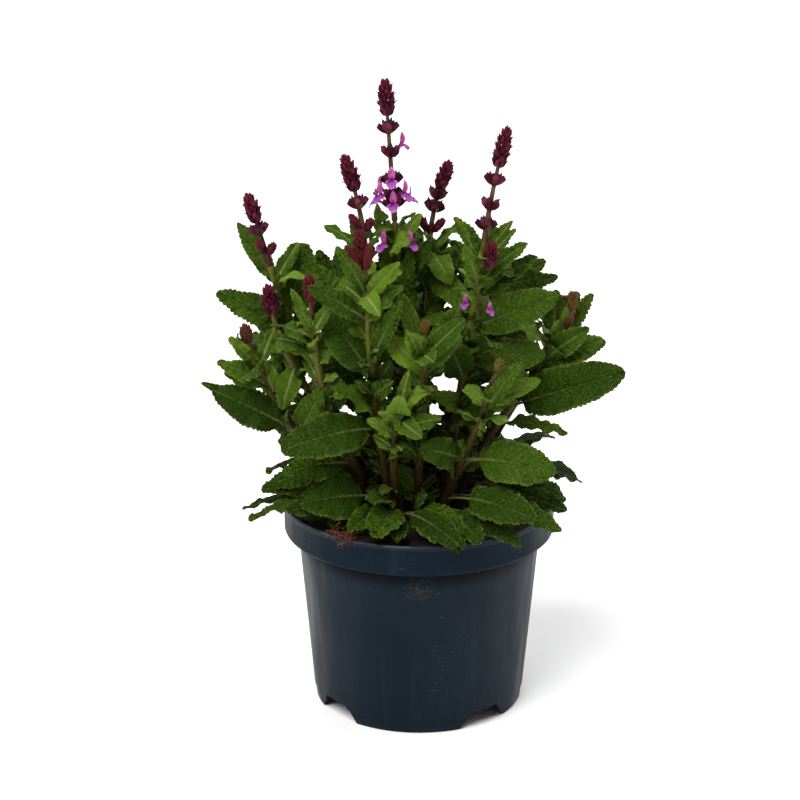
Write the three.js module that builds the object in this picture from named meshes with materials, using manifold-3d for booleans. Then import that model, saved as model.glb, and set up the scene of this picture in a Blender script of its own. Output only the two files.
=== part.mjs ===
// A perennial salvia in its nursery pot: a round plastic pot, the growing medium in it, the leafy
// stems, their flower spikes and the open flowers. Millimetres, +Z up, front towards -Y. The origin
// is the middle of the pot's underside, so everything stands on z = 0.
import * as THREE from 'three';
import { mergeVertices } from 'three/addons/utils/BufferGeometryUtils.js';
import Module from 'manifold-3d';

const wasm = await Module();
wasm.setup();

// ---- driving dimensions ----

const GAP = 0.3; // clearance between pieces that meet

const POT_HEIGHT = 147;
const RIM_RADIUS = 95;
const COLLAR_RADIUS = 94.2;
const COLLAR_BOTTOM = 126; // height at which the wide collar ends above the tapered body
const LIP_HEIGHT = 3.6;
const BODY_TOP_RADIUS = 84.4;
const BODY_FOOT_RADIUS = 74.1;
const FOOT_RADIUS = 72.6; // the skirt that the pot stands on
const FOOT_HEIGHT = 8;
const WALL = 1.6;
const FLOOR_HEIGHT = 7.2; // underside of the raised floor
const PAD_RADIUS = 22; // the middle of the floor comes down to the ground
const NOTCH_WIDTH = 38; // openings in the foot, for draining, wider at the ground than above
const NOTCH_TOP_WIDTH = 23;
const NOTCH_HEIGHT = 12;
const NOTCH_ANGLES = [-52, 38, 128, 218]; // degrees from the front, towards +X
const DRAIN_COUNT = 6;
const DRAIN_RADIUS = 3.6;
const DRAIN_CIRCLE = 44;
const POT_SIDES = 32;

const SOIL_EDGE = 135;
const SOIL_CROWN = 139; // the medium rises a little to the middle
const SOIL_SIDES = 18;
const HOLE_DEPTH = 22;
const HOLE_SPARE = 2; // the hole is longer than what stands in it
const HOLE_CLEARANCE = 2.4; // more than the corner of a square stem needs
const STEM_FOOT = SOIL_CROWN - HOLE_DEPTH + GAP;

const STEM_FOOT_RADIUS = 3.1;
const STEM_TOP_RADIUS = 1.7;
const PETIOLE_RADIUS = 1.1;
const BLADE_THICKNESS = 1.3; // at the midrib
const BLADE_FOLD = 0.3; // rise of the blade from its midrib, as a part of its half width
const MARGIN_DROP = 0.22; // how much of that the margins turn down again
const MARGIN_WAVE = 0.13;
const WAVES = 2.3; // along one margin
const STALKLESS_LENGTH = 26; // smaller leaves sit on the stem
const STALKLESS_HEIGHT = 245; // and so do those that leave it above this
const STALK_GROWTH = 240; // lower down, a leaf this much lower would be all stalk
const SHORT_STALK = 7;
const STALK_DEPTH = 1.5; // how far beyond the middle of its stem a short stalk starts
const TOOTH_BITE = 0.84; // half width between two teeth, as a part of the full one
const LOWEST_PAIR = 158; // height at which the growth rule stops
const ARCH = 0.14; // rise of a leaf's middle, as a part of its length
const CALYX_LENGTH = 8;
const CALYX_RADIUS = 1.7;
const COROLLA_LENGTH = 12;

// Leafy stems. The foot stands in the medium, b and c shape the curve, and top is where the flower
// spike takes over. side turns the first pair of leaves that the growth rule sets, in degrees, and
// pairs is the number of those pairs.
const STEMS = {
  A: { foot: [-6, 8], b: [-8, 8, 200], c: [-13, 6, 280], top: [-17, 5, 346], side: 60, pairs: 3 },
  B: { foot: [-14, -3], b: [-22, -5, 190], c: [-32, -9, 270], top: [-37, -10, 333], side: 20, pairs: 3 },
  C: { foot: [14, -12], b: [20, -14, 190], c: [34, -20, 262], top: [43, -17, 336], side: 75, pairs: 3 },
  D: { foot: [3, 18], b: [4, 21, 190], c: [6, 28, 270], top: [7, 30, 322], side: 100, pairs: 3 },
  E: { foot: [-25, 3], b: [-40, 1, 190], c: [-84, 0, 250], top: [-102, 0, 316], side: 80, pairs: 3 },
  F: { foot: [-29, -9], b: [-38, -11, 180], c: [-80, -18, 225], top: [-97, -20, 277], side: 30, pairs: 2 },
  G: { foot: [-24, -20], b: [-32, -22, 170], c: [-70, -38, 215], top: [-72, -45, 291], side: 10, pairs: 2 },
  H: { foot: [-14, -24], b: [-19, -28, 160], c: [-31, -50, 200], top: [-36, -50, 318], side: 120, pairs: 2 },
  J: { foot: [-34, -20], b: [-44, -22, 160], c: [-88, -24, 190], top: [-114, -25, 262], side: 60, pairs: 2 },
  K: { foot: [-2, -20], b: [-2, -30, 170], c: [2, -53, 220], top: [3, -55, 278], side: 30, pairs: 2 },
  L: { foot: [22, -2], b: [28, 0, 180], c: [72, 4, 220], top: [98, 6, 262], side: 15, pairs: 3 },
  M: { foot: [9, -26], b: [14, -28, 160], c: [32, -48, 190], top: [48, -54, 246], side: 60, pairs: 2 },
  N: { foot: [-4, -31], b: [-18, -33, 155], c: [-22, -48, 190], top: [-12, -63, 240], side: 80, pairs: 1 },
  Q: { foot: [-22, 20], b: [-30, 28, 175], c: [-52, 54, 215], top: [-60, 64, 258], side: 25, pairs: 3 },
  R: { foot: [12, 8], b: [20, 14, 180], c: [38, 34, 240], top: [48, 42, 290], side: 10, pairs: 3 },
  S: { foot: [26, 14], b: [36, 22, 170], c: [78, 44, 210], top: [98, 56, 250], side: 40, pairs: 3 },
  T: { foot: [-8, 28], b: [-10, 40, 180], c: [-14, 74, 220], top: [-16, 87, 264], side: 70, pairs: 3 },
  U: { foot: [-34, 14], b: [-46, 20, 165], c: [-88, 38, 200], top: [-106, 46, 244], side: 0, pairs: 3 },
  V: { foot: [14, 28], b: [20, 40, 170], c: [44, 70, 200], top: [54, 84, 244], side: 70, pairs: 3 },
};

// Leaves that are placed by hand: the stem, the height at which the leaf leaves it, the leaf's tip,
// its width, how far its middle rises above a straight line, and how far its face leans from
// straight up towards the front, in degrees.
const PLACED_LEAVES = [
  ['C', 318, [25, -23, 354], 8, 2, 50],
  ['C', 318, [64, -20, 346], 9, 2, 50],
  ['A', 338, [-33, -2, 331], 7, 6, 40],
  ['A', 338, [3, 0, 329], 8, 7, 40],
  ['H', 307, [-57, -57, 345], 11, 4, 55],
  ['H', 305, [-14, -63, 335], 12, 5, 60],
  ['B', 319, [-65, 6, 342], 9, 5, 20],
  ['E', 302, [-123, 1, 344], 15, 3, 55],
  ['E', 302, [-86, 4, 332], 12, 3, 55],
  ['C', 306, [29, -34, 337], 12, 4, 60],
  ['C', 306, [63, -32, 335], 12, 4, 55],
  ['D', 310, [32, 24, 335], 9, 5, 20],
  ['G', 279, [-91, -50, 316], 9, 1, 60],
  ['G', 279, [-56, -52, 308], 9, 3, 60],
  ['J', 249, [-132, -28, 276], 10, 1, 60],
  ['J', 249, [-98, -27, 279], 9, 2, 60],
  ['L', 251, [118, 10, 293], 14, 2, 60],
  ['L', 249, [117, -3, 272], 18, 4, 65],
  ['K', 258, [-9, -62, 288], 12, 2, 60],
  ['K', 267, [29, -67, 297], 16, 3, 65],
  ['N', 232, [-8, -72, 262], 9, 2, 60],
  ['M', 227, [70, -58, 267], 12, 2, 60],
  ['L', 212, [140, -22, 245], 33, 6, 62],
  ['M', 190, [91, -76, 194], 32, 8, 55],
  ['H', 212, [-93, -70, 206], 32, 10, 52],
  ['C', 275, [95, -18, 300], 27, 5, 66],
  ['J', 205, [-140, -36, 238], 27, 4, 62],
  ['E', 276, [-83, 8, 328], 30, 4, 66],
  ['L', 240, [126, 0, 263], 22, 4, 60],
  ['M', 158, [76, -96, 168], 28, 9, 50],
  ['N', 150, [-30, -99, 160], 25, 7, 50],
  ['H', 158, [-81, -62, 166], 34, 8, 50],
  ['E', 266, [-138, -8, 297], 22, 5, 58],
  ['H', 290, [-74, -60, 318], 16, 5, 60],
  ['H', 305, [-22, -68, 300], 15, 9, 62],
  ['H', 252, [-66, -34, 296], 28, 4, 66],
  ['M', 190, [0, -72, 209], 22, 5, 64],
  ['C', 216, [6, -62, 242], 15, 6, 60],
  ['G', 185, [-101, -52, 170], 19, 5, 50],
  ['J', 200, [-66, -44, 240], 20, 4, 64],
  ['J', 238, [-133, -29, 249], 14, 3, 58],
  ['C', 254, [87, -14, 256], 25, 5, 62],
  ['R', 280, [85, 14, 303], 22, 5, 52],
  ['R', 272, [80, 30, 314], 18, 4, 42],
  ['C', 240, [20, -32, 268], 24, 4, 64],
  ['D', 316, [22, 2, 300], 18, 6, 50],
  ['D', 300, [28, -16, 284], 19, 6, 60],
  ['D', 286, [-4, -4, 318], 22, 4, 64],
  ['R', 258, [68, 16, 292], 26, 5, 56],
  ['A', 296, [8, -6, 335], 13, 3, 62],
  ['A', 288, [-6, -16, 329], 13, 3, 68],
  ['K', 262, [22, -76, 273], 18, 5, 52],
  ['H', 262, [-12, -63, 309], 13, 4, 66],
  ['N', 211, [-34, -76, 230], 12, 3, 58],
  ['N', 216, [14, -78, 232], 13, 3, 58],
  ['N', 228, [-13, -84, 247], 17, 2, 66],
  ['N', 224, [-2, -86, 221], 15, 4, 68],
  ['M', 232, [77, -68, 251], 13, 3, 50],
  ['H', 274, [-22, -64, 297], 10, 2, 60],
  ['H', 236, [-18, -66, 254], 14, 4, 64],
  ['F', 270, [-74, -34, 263], 15, 4, 60],
  ['F', 248, [-92, -36, 221], 17, 6, 64],
  ['L', 200, [100, -44, 208], 13, 5, 25],
  ['L', 162, [102, -28, 158], 23, 5, 36],
  ['C', 152, [96, -72, 150], 18, 14, 40],
  ['M', 150, [73, -88, 151], 18, 7, 40],
  ['K', 150, [4, -58, 171], 16, 3, 55],
  ['N', 147, [26, -108, 153], 22, 9, 45],
  ['H', 148, [-53, -88, 160], 19, 5, 42],
  ['J', 162, [-122, -36, 152], 9, 3, 8],
];

// Gaps between the leaves that stay open from front to back: their two ends and their radius.
const CLEARINGS = [
  [[-52, -90, 244], [-57, 110, 175], 2],
  [[-47, -90, 239], [-51, 110, 169], 2],
  [[10, -90, 240], [13, 110, 171], 3],
  [[21, -90, 260], [26, 110, 193], 3],
  [[73, -90, 243], [84, 110, 174], 4],
  [[64, -90, 243], [73, 110, 173], 2.5],
  [[83, -90, 240], [95, 110, 171], 2.5],
  [[56, -90, 227], [64, 110, 156], 3],
  [[85, -90, 215], [97, 110, 143], 4],
  [[-103, -90, 224], [-114, 110, 153], 5],
  [[98, -90, 191], [111, 110, 115], 4],
  [[-106, -90, 335], [-117, 110, 277], 3.5],
  [[-92, -90, 338], [-102, 110, 281], 2],
  [[102, -90, 295], [116, 110, 232], 2.5],
  [[108, -90, 313], [123, 110, 252], 3],
  [[54, -90, 316], [63, 110, 255], 1.5],
  [[63, -90, 323], [72, 110, 264], 1.5],
  [[70, -90, 330], [81, 110, 272], 1.5],
];

// Flower spikes. Each takes over from its stem's top: tip is its end, head is the part of its length
// that the dense head fills, radius is that head's, and whorls are separate rings of calyces lower
// down, as parts of the length. buds are side buds, each by its tip.
const SPIKES = {
  A: { tip: [-23.5, 5, 441], head: 0.27, radius: 5.2, whorls: [0.085, 0.15, 0.27, 0.475, 0.645] },
  B: { tip: [-51, -10, 393], head: 0.44, radius: 5, whorls: [0.42], buds: [[-47, -13, 353], [-32, -13, 350]] },
  C: { tip: [58, -15, 413], head: 0.37, radius: 5, whorls: [0.11, 0.3, 0.52] },
  D: { tip: [21, 30, 379], head: 0.36, radius: 4.6, whorls: [0.4, 0.56], buds: [[0, 27, 341], [17, 27, 339]] },
  E: { tip: [-116, 0, 364], head: 0.44, radius: 4.6, whorls: [0.44], buds: [[-109, -7, 333], [-98, -7, 331]] },
  F: { tip: [-102, -20, 306], head: 0.76, radius: 4.8, whorls: [] },
  G: { tip: [-74, -45, 320], head: 0.66, radius: 3.8, whorls: [] },
  H: { tip: [-41, -50, 352], head: 0.66, radius: 4.4, whorls: [], buds: [[-49, -55, 343], [-33, -58, 344]] },
  J: { tip: [-118, -25, 280], head: 0.76, radius: 3.6, whorls: [] },
  K: { tip: [3, -56, 292], head: 0.7, radius: 2.8, whorls: [] },
  L: { tip: [105, 10, 293], head: 0.4, radius: 3.4, whorls: [], buds: [[104, 1, 278]] },
  M: { tip: [54, -55, 265], head: 0.5, radius: 2.8, whorls: [] },
  Q: { tip: [-64, 68, 288], head: 0.62, radius: 4.2, whorls: [0.25] },
  R: { tip: [52, 46, 315], head: 0.75, radius: 4, whorls: [] },
  S: { tip: [103, 60, 275], head: 0.72, radius: 4, whorls: [] },
  T: { tip: [-17, 91, 292], head: 0.7, radius: 4.2, whorls: [] },
  U: { tip: [-111, 49, 270], head: 0.72, radius: 4, whorls: [] },
  V: { tip: [57, 88, 272], head: 0.72, radius: 4, whorls: [] },
};

// Open flowers: the spike, the whorl counted from below and the calyx in it that the flower is in.
const FLOWERS = [
  ['A', 0, 0],
  ['A', 0, 1],
  ['A', 0, 2],
  ['A', 0, 3],
  ['A', 1, 1],
  ['A', 1, 2],
  ['A', 1, 3],
  ['A', 2, 3],
  ['A', 3, 0],
];

// Single flowers in the axils of leaves: the stem, the height and the tip of the calyx.
const AXIL_FLOWERS = [
  ['A', 321, [-22, -4, 329]],
  ['A', 321, [-9, -3, 329]],
  ['C', 288, [32, -28, 295]],
  ['C', 284, [44, -29, 291]],
];

const SKIRT_LEAVES = 9;
const SKIRT_FROM = -8; // the skirt's first heading, and how far round it goes, in degrees
const SKIRT_SPAN = 202;
const SKIRT_REACH = 98; // least distance of its leaf tips from the pot's axis
const SKIRT_LEVEL = 153; // least height of those tips
const CALYCES_PER_WHORL = 4;
const CALYX_LEAN = 62; // degrees between a calyx and the stem, in a separate whorl
const BUD_SPACING = 5.6; // between the whorls of a dense head
const SIDE_BUD_RADIUS = 3;

// ---- materials ----

const COLOURS = {
  pot: '#2f4252',
  medium: '#33241a',
  leaf: '#4f7d26',
  calyx: '#5b1f33',
  corolla: '#c33fa6',
};

function material(colour, roughness) {
  return new THREE.MeshStandardMaterial({ color: colour, roughness, metalness: 0 });
}

// ---- closed meshes and their joins ----

// Merges a geometry's shared corners, drops the slivers at the poles of a turned shape, and turns
// the faces outwards.
function closedMesh(geometry) {
  const bare = geometry.clone();
  bare.deleteAttribute('normal');
  bare.deleteAttribute('uv');
  const merged = mergeVertices(bare, 1e-4);
  const at = merged.getAttribute('position');
  const index = merged.index.array;
  const faces = [];
  let volume = 0;
  const a = new THREE.Vector3();
  const b = new THREE.Vector3();
  const c = new THREE.Vector3();
  for (let i = 0; i < index.length; i += 3) {
    const [p, q, r] = [index[i], index[i + 1], index[i + 2]];
    if (p === q || q === r || p === r) continue;
    faces.push(p, q, r);
    a.fromBufferAttribute(at, p);
    b.fromBufferAttribute(at, q);
    c.fromBufferAttribute(at, r);
    volume += a.dot(b.cross(c));
  }
  if (volume < 0) {
    for (let i = 0; i < faces.length; i += 3) [faces[i], faces[i + 1]] = [faces[i + 1], faces[i]];
  }
  return { vertProperties: new Float32Array(at.array), triVerts: new Uint32Array(faces) };
}

function solid(geometry) {
  return new wasm.Manifold(new wasm.Mesh({ numProp: 3, ...closedMesh(geometry) }));
}

function geometryOf(manifold) {
  const mesh = manifold.getMesh();
  const geometry = new THREE.BufferGeometry();
  geometry.setAttribute('position', new THREE.BufferAttribute(mesh.vertProperties, 3));
  geometry.setIndex(new THREE.BufferAttribute(mesh.triVerts, 1));
  geometry.computeVertexNormals();
  return geometry;
}

// Joins solids into one body. A scrap that is cut loose, or a hollow that the join seals, goes.
function joined(solids) {
  const bodies = solids.reduce((sum, next) => sum.add(next)).decompose();
  return bodies.reduce((largest, next) => (next.volume() > largest.volume() ? next : largest));
}

// A closed surface through rings of points, all with the same number of corners. A ring of one
// point closes an end to a tip, and any other end is closed flat.
function loft(rings) {
  const corners = Math.max(...rings.map((ring) => ring.length));
  const points = [];
  const starts = rings.map((ring) => {
    const start = points.length;
    points.push(...ring);
    return start;
  });
  const faces = [];
  for (let i = 0; i + 1 < rings.length; i += 1) {
    for (let k = 0; k < corners; k += 1) {
      const next = (k + 1) % corners;
      const a = starts[i] + (rings[i].length > 1 ? k : 0);
      const b = starts[i] + (rings[i].length > 1 ? next : 0);
      const c = starts[i + 1] + (rings[i + 1].length > 1 ? next : 0);
      const d = starts[i + 1] + (rings[i + 1].length > 1 ? k : 0);
      // the diagonal changes side at each corner, so that both faces of a blade split alike
      if (k % 2 === 0) faces.push(a, b, c, a, c, d);
      else faces.push(a, b, d, b, c, d);
    }
  }
  for (const [ring, start] of [[rings[0], starts[0]], [rings.at(-1), starts.at(-1)]]) {
    for (let k = 1; k + 1 < ring.length; k += 1) {
      if (start === 0) faces.push(start, start + k + 1, start + k);
      else faces.push(start, start + k, start + k + 1);
    }
  }
  const geometry = new THREE.BufferGeometry().setFromPoints(points);
  geometry.setIndex(faces);
  return geometry;
}

// A square or many-sided tube along a curve, closed at both ends, with radius(t) at each part t of
// its length.
function tube(curve, steps, sides, radius) {
  const outline = new THREE.Shape();
  for (let k = 0; k < sides; k += 1) {
    const angle = ((k + 0.5) / sides) * 2 * Math.PI;
    if (k === 0) outline.moveTo(Math.cos(angle), Math.sin(angle));
    else outline.lineTo(Math.cos(angle), Math.sin(angle));
  }
  outline.closePath();
  const geometry = new THREE.ExtrudeGeometry(outline, { steps, extrudePath: curve, curveSegments: 1 });
  const centres = curve.getSpacedPoints(steps);
  const at = geometry.getAttribute('position');
  const point = new THREE.Vector3();
  for (let i = 0; i < at.count; i += 1) {
    point.fromBufferAttribute(at, i);
    let nearest = 0;
    centres.forEach((centre, k) => {
      if (point.distanceToSquared(centre) < point.distanceToSquared(centres[nearest])) nearest = k;
    });
    point.sub(centres[nearest]).multiplyScalar(radius(nearest / steps)).add(centres[nearest]);
    at.setXYZ(i, point.x, point.y, point.z);
  }
  return geometry;
}

function radians(degrees) {
  return (degrees * Math.PI) / 180;
}

// A number from 0 to 1 that depends on the count alone.
function draw(count) {
  let value = (count * 48271 + 11) % 2147483647;
  value = (value * 48271) % 2147483647;
  value = (value * 48271) % 2147483647;
  return value / 2147483647;
}

// ---- pot ----

function potProfile() {
  const inner = BODY_TOP_RADIUS - WALL;
  return [
    [0, 0],
    [PAD_RADIUS, 0],
    [PAD_RADIUS + 3, FLOOR_HEIGHT],
    [FOOT_RADIUS - 3, FLOOR_HEIGHT],
    [FOOT_RADIUS - 1.8, 0],
    [FOOT_RADIUS, 0],
    [BODY_FOOT_RADIUS, FOOT_HEIGHT],
    [BODY_TOP_RADIUS, COLLAR_BOTTOM - 3.4],
    [COLLAR_RADIUS - 1.2, COLLAR_BOTTOM - 0.8],
    [COLLAR_RADIUS, COLLAR_BOTTOM + 0.6],
    [COLLAR_RADIUS, POT_HEIGHT - LIP_HEIGHT],
    [RIM_RADIUS, POT_HEIGHT - LIP_HEIGHT + 0.6],
    [RIM_RADIUS, POT_HEIGHT],
    [COLLAR_RADIUS - WALL, POT_HEIGHT],
    [COLLAR_RADIUS - WALL, COLLAR_BOTTOM + 1.6],
    [inner, COLLAR_BOTTOM - 1.6],
    [BODY_FOOT_RADIUS - WALL, FLOOR_HEIGHT + 2],
    [PAD_RADIUS + 4.5, FLOOR_HEIGHT + 2],
    [0, FLOOR_HEIGHT + 2],
  ];
}

function turned(profile, sides) {
  const geometry = new THREE.LatheGeometry(profile.map(([r, z]) => new THREE.Vector2(r, z)), sides);
  return geometry.rotateX(Math.PI / 2);
}

// An arched opening through the foot.
function notch(angle) {
  const foot = NOTCH_WIDTH / 2;
  const top = NOTCH_TOP_WIDTH / 2;
  const shape = new THREE.Shape();
  shape.moveTo(-foot - 1, -2);
  shape.lineTo(foot + 1, -2);
  shape.lineTo(top + 1, NOTCH_HEIGHT - 2.4);
  shape.quadraticCurveTo(top - 0.4, NOTCH_HEIGHT, top - 4, NOTCH_HEIGHT);
  shape.lineTo(4 - top, NOTCH_HEIGHT);
  shape.quadraticCurveTo(0.4 - top, NOTCH_HEIGHT, -top - 1, NOTCH_HEIGHT - 2.4);
  const geometry = new THREE.ExtrudeGeometry(shape, { depth: 14, bevelEnabled: false, curveSegments: 2 });
  geometry.rotateX(Math.PI / 2);
  geometry.translate(0, -FOOT_RADIUS + 8, 0);
  geometry.rotateZ(radians(angle));
  return solid(geometry);
}

function drain(count) {
  const geometry = new THREE.CylinderGeometry(DRAIN_RADIUS, DRAIN_RADIUS, 12, 6);
  geometry.rotateX(Math.PI / 2);
  const angle = ((count + 0.5) / DRAIN_COUNT) * 2 * Math.PI;
  geometry.translate(DRAIN_CIRCLE * Math.cos(angle), DRAIN_CIRCLE * Math.sin(angle), FLOOR_HEIGHT + 1);
  return solid(geometry);
}

function makePot() {
  let pot = solid(turned(potProfile(), POT_SIDES));
  for (const angle of NOTCH_ANGLES) pot = pot.subtract(notch(angle));
  for (let count = 0; count < DRAIN_COUNT; count += 1) pot = pot.subtract(drain(count));
  return geometryOf(pot);
}

// ---- growing medium ----

function soilProfile() {
  const wall = WALL + GAP;
  return [
    [0, FLOOR_HEIGHT + 2 + GAP],
    [BODY_FOOT_RADIUS - wall - 0.4, FLOOR_HEIGHT + 2 + GAP],
    [BODY_TOP_RADIUS - wall - 0.4, COLLAR_BOTTOM - 1.2],
    [COLLAR_RADIUS - wall - 0.4, COLLAR_BOTTOM + 2.2],
    [COLLAR_RADIUS - wall - 0.4, SOIL_EDGE],
    [60, SOIL_EDGE + 1.6],
    [34, SOIL_CROWN],
    [0, SOIL_CROWN],
  ];
}

// A plain square hole that follows the foot of a stem.
function soilHole(stem) {
  const curve = stemCurve(stem);
  const bottom = curve.getPoint(0);
  const mouth = curve.getPoint(stemAtHeight(curve, SOIL_CROWN + 4));
  const line = mouth.clone().sub(bottom);
  const radius = STEM_FOOT_RADIUS + HOLE_CLEARANCE;
  const geometry = new THREE.CylinderGeometry(radius, radius, line.length() + HOLE_SPARE, 4);
  const turn = new THREE.Quaternion().setFromUnitVectors(new THREE.Vector3(0, 1, 0), line.clone().normalize());
  geometry.applyQuaternion(turn);
  geometry.translate(...bottom.addScaledVector(line, 0.5).toArray());
  return solid(geometry);
}

function makeSoil() {
  let soil = solid(turned(soilProfile(), SOIL_SIDES));
  for (const stem of Object.values(STEMS)) soil = soil.subtract(soilHole(stem));
  return geometryOf(soil);
}

// ---- stems ----

function stemCurve({ foot, b, c, top }) {
  return new THREE.CubicBezierCurve3(
    new THREE.Vector3(foot[0], foot[1], STEM_FOOT),
    new THREE.Vector3(...b),
    new THREE.Vector3(...c),
    new THREE.Vector3(...top),
  );
}

// The place on a stem at a given height, by halving.
function stemAtHeight(curve, height) {
  let low = 0;
  let high = 1;
  for (let i = 0; i < 30; i += 1) {
    const middle = (low + high) / 2;
    if (curve.getPoint(middle).z < height) low = middle;
    else high = middle;
  }
  return low;
}

function stemRadius(t) {
  return STEM_FOOT_RADIUS + (STEM_TOP_RADIUS - STEM_FOOT_RADIUS) * t;
}

// The curve of a flower spike: straight on from its stem, then bending to its tip.
function spikeCurve(name) {
  const stem = stemCurve(STEMS[name]);
  const tip = new THREE.Vector3(...SPIKES[name].tip);
  const top = stem.getPoint(1);
  const along = stem.getTangent(1);
  const start = top.clone().addScaledVector(along, GAP);
  const bend = start.clone().addScaledVector(along, 0.45 * start.distanceTo(tip));
  return new THREE.QuadraticBezierCurve3(start, bend, tip);
}

// ---- calyces that hold open flowers ----

// A pair of directions square to a direction.
function sideways(along) {
  const first = new THREE.Vector3(0, 1, 0).cross(along).normalize();
  return [first, along.clone().cross(first)];
}

function calyxFrame(curve, place, number, count) {
  const centre = curve.getPoint(place);
  const along = curve.getTangent(place);
  const [first, second] = sideways(along);
  const angle = ((count + 0.5 * (number % 2)) / CALYCES_PER_WHORL) * 2 * Math.PI;
  const out = first.multiplyScalar(Math.cos(angle)).addScaledVector(second, Math.sin(angle));
  const lean = radians(CALYX_LEAN);
  const heading = out.multiplyScalar(Math.sin(lean)).addScaledVector(along, Math.cos(lean));
  return { centre, heading };
}

// Each open flower as the tip of its calyx and the direction that it looks in.
function whorlFlower([name, number, count]) {
  const { centre, heading } = calyxFrame(spikeCurve(name), SPIKES[name].whorls[number], number, count);
  return [centre.addScaledVector(heading, CALYX_LENGTH), heading];
}

function axilFlower([name, height, tip]) {
  const curve = stemCurve(STEMS[name]);
  const end = new THREE.Vector3(...tip);
  return [end, end.clone().sub(curve.getPoint(stemAtHeight(curve, height))).normalize()];
}

const whorlFlowers = FLOWERS.map(whorlFlower);
const axilFlowers = AXIL_FLOWERS.map(axilFlower);

// ---- leaves ----

// A leaf from its base, tip, width, arch and the direction that its face looks in.
function makeLeaf(stem, base, tip, width, arch, face) {
  const chord = tip.clone().sub(base);
  const length = chord.length();
  const up = face.clone().addScaledVector(chord, -face.dot(chord) / chord.lengthSq()).normalize();
  const middle = base.clone().add(tip).multiplyScalar(0.5).addScaledVector(up, 2 * arch);
  const lower = Math.min(0.36, Math.max(0.08, (STALKLESS_HEIGHT - base.z) / STALK_GROWTH));
  const stalk = length < STALKLESS_LENGTH ? 0.1 : lower;
  return { stem, base, middle, tip, width, arch, length, face, stalk };
}

// Half the blade's width at part u of the leaf's length.
function halfWidth(leaf, u) {
  if (u <= leaf.stalk) return PETIOLE_RADIUS;
  const s = (u - leaf.stalk) / (1 - leaf.stalk);
  return Math.max(PETIOLE_RADIUS, (leaf.width / 2) * Math.sin(Math.PI * s ** 0.78) ** 0.72);
}

// The leaf's own directions at part u: along it, across it and out of its face.
function leafFrame(leaf, u) {
  const { base, middle, tip, face } = leaf;
  const point = base.clone().multiplyScalar((1 - u) ** 2);
  point.addScaledVector(middle, 2 * u * (1 - u)).addScaledVector(tip, u * u);
  const along = middle.clone().sub(base).multiplyScalar(1 - u);
  along.addScaledVector(tip.clone().sub(middle), u).normalize();
  const across = along.clone().cross(face).normalize();
  const out = across.clone().cross(along);
  return { point, across, out };
}

// A point of the leaf's middle surface: the blade is folded a little along the midrib, its margins
// turn down again, and they run in waves.
function leafPoint(leaf, u, v) {
  const { point, across, out } = leafFrame(leaf, u);
  const half = halfWidth(leaf, u);
  const blade = half > PETIOLE_RADIUS ? half : 0;
  const wave = MARGIN_WAVE * Math.sin(2 * Math.PI * (WAVES * u + (v < 0 ? 0.35 : 0)));
  const height = blade * (BLADE_FOLD * Math.abs(v) + (wave - MARGIN_DROP) * v * v);
  return point.addScaledVector(across, v * half).addScaledVector(out, height);
}

// ---- room for the leaves ----

// Balls that fill what already stands, kept by cells of space. Each has the stem that it belongs to,
// and near marks those close to the foot of a leaf.
const CELL = 10;
const LEAF_ROOM = 2.3; // radius of the balls that stand for a blade
const room = new Map();

function cellKey(x, y, z) {
  const [i, j, k] = [x, y, z].map((value) => Math.floor(value / CELL) + 100);
  return (i * 1000 + j) * 1000 + k;
}

function fillRoom(ball) {
  const key = cellKey(ball.x, ball.y, ball.z);
  if (!room.has(key)) room.set(key, []);
  room.get(key).push(ball);
}

function ballsOfLeaf(leaf) {
  const balls = [];
  const steps = Math.ceil(leaf.length / 4.4);
  for (let i = 1; i <= steps; i += 1) {
    const u = i / steps;
    const half = halfWidth(leaf, u);
    const rows = half > 2 ? Math.ceil(half / 2.2) : 0;
    for (let k = 0; k <= rows; k += 1) {
      const { x, y, z } = leafPoint(leaf, u, rows ? -1 + (2 * k) / rows : 0);
      const near = u * leaf.length < 14;
      const radius = Math.min(LEAF_ROOM, 1.2 + half / 2);
      balls.push({ x, y, z, radius, stem: leaf.stem, near });
    }
  }
  return balls;
}

// Whether a ball is clear of the pot, the medium and everything of other stems. Leaves of one stem
// may meet where they leave it.
function isClear(ball) {
  const reach = Math.hypot(ball.x, ball.y);
  if (reach < 90 && ball.z < SOIL_CROWN + 4) return false;
  if (reach >= 90 && reach < 99 && ball.z < POT_HEIGHT + 4) return false;
  for (let i = -1; i <= 1; i += 1) {
    for (let j = -1; j <= 1; j += 1) {
      for (let k = -1; k <= 1; k += 1) {
        const key = cellKey(ball.x + i * CELL, ball.y + j * CELL, ball.z + k * CELL);
        for (const other of room.get(key) ?? []) {
          if (other.stem === ball.stem && (other.near || ball.near)) continue;
          const apart = Math.hypot(other.x - ball.x, other.y - ball.y, other.z - ball.z);
          const share = other.stem === ball.stem ? 0.85 : 1;
          if (apart < share * (other.radius + ball.radius)) return false;
        }
      }
    }
  }
  return true;
}

function fillAlong(curve, length, radius, stem, near) {
  const steps = Math.ceil(length / 3);
  for (let i = 0; i <= steps; i += 1) {
    const { x, y, z } = curve.getPoint(i / steps);
    fillRoom({ x, y, z, radius: radius(i / steps), stem, near: i / steps <= near });
  }
}

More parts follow.
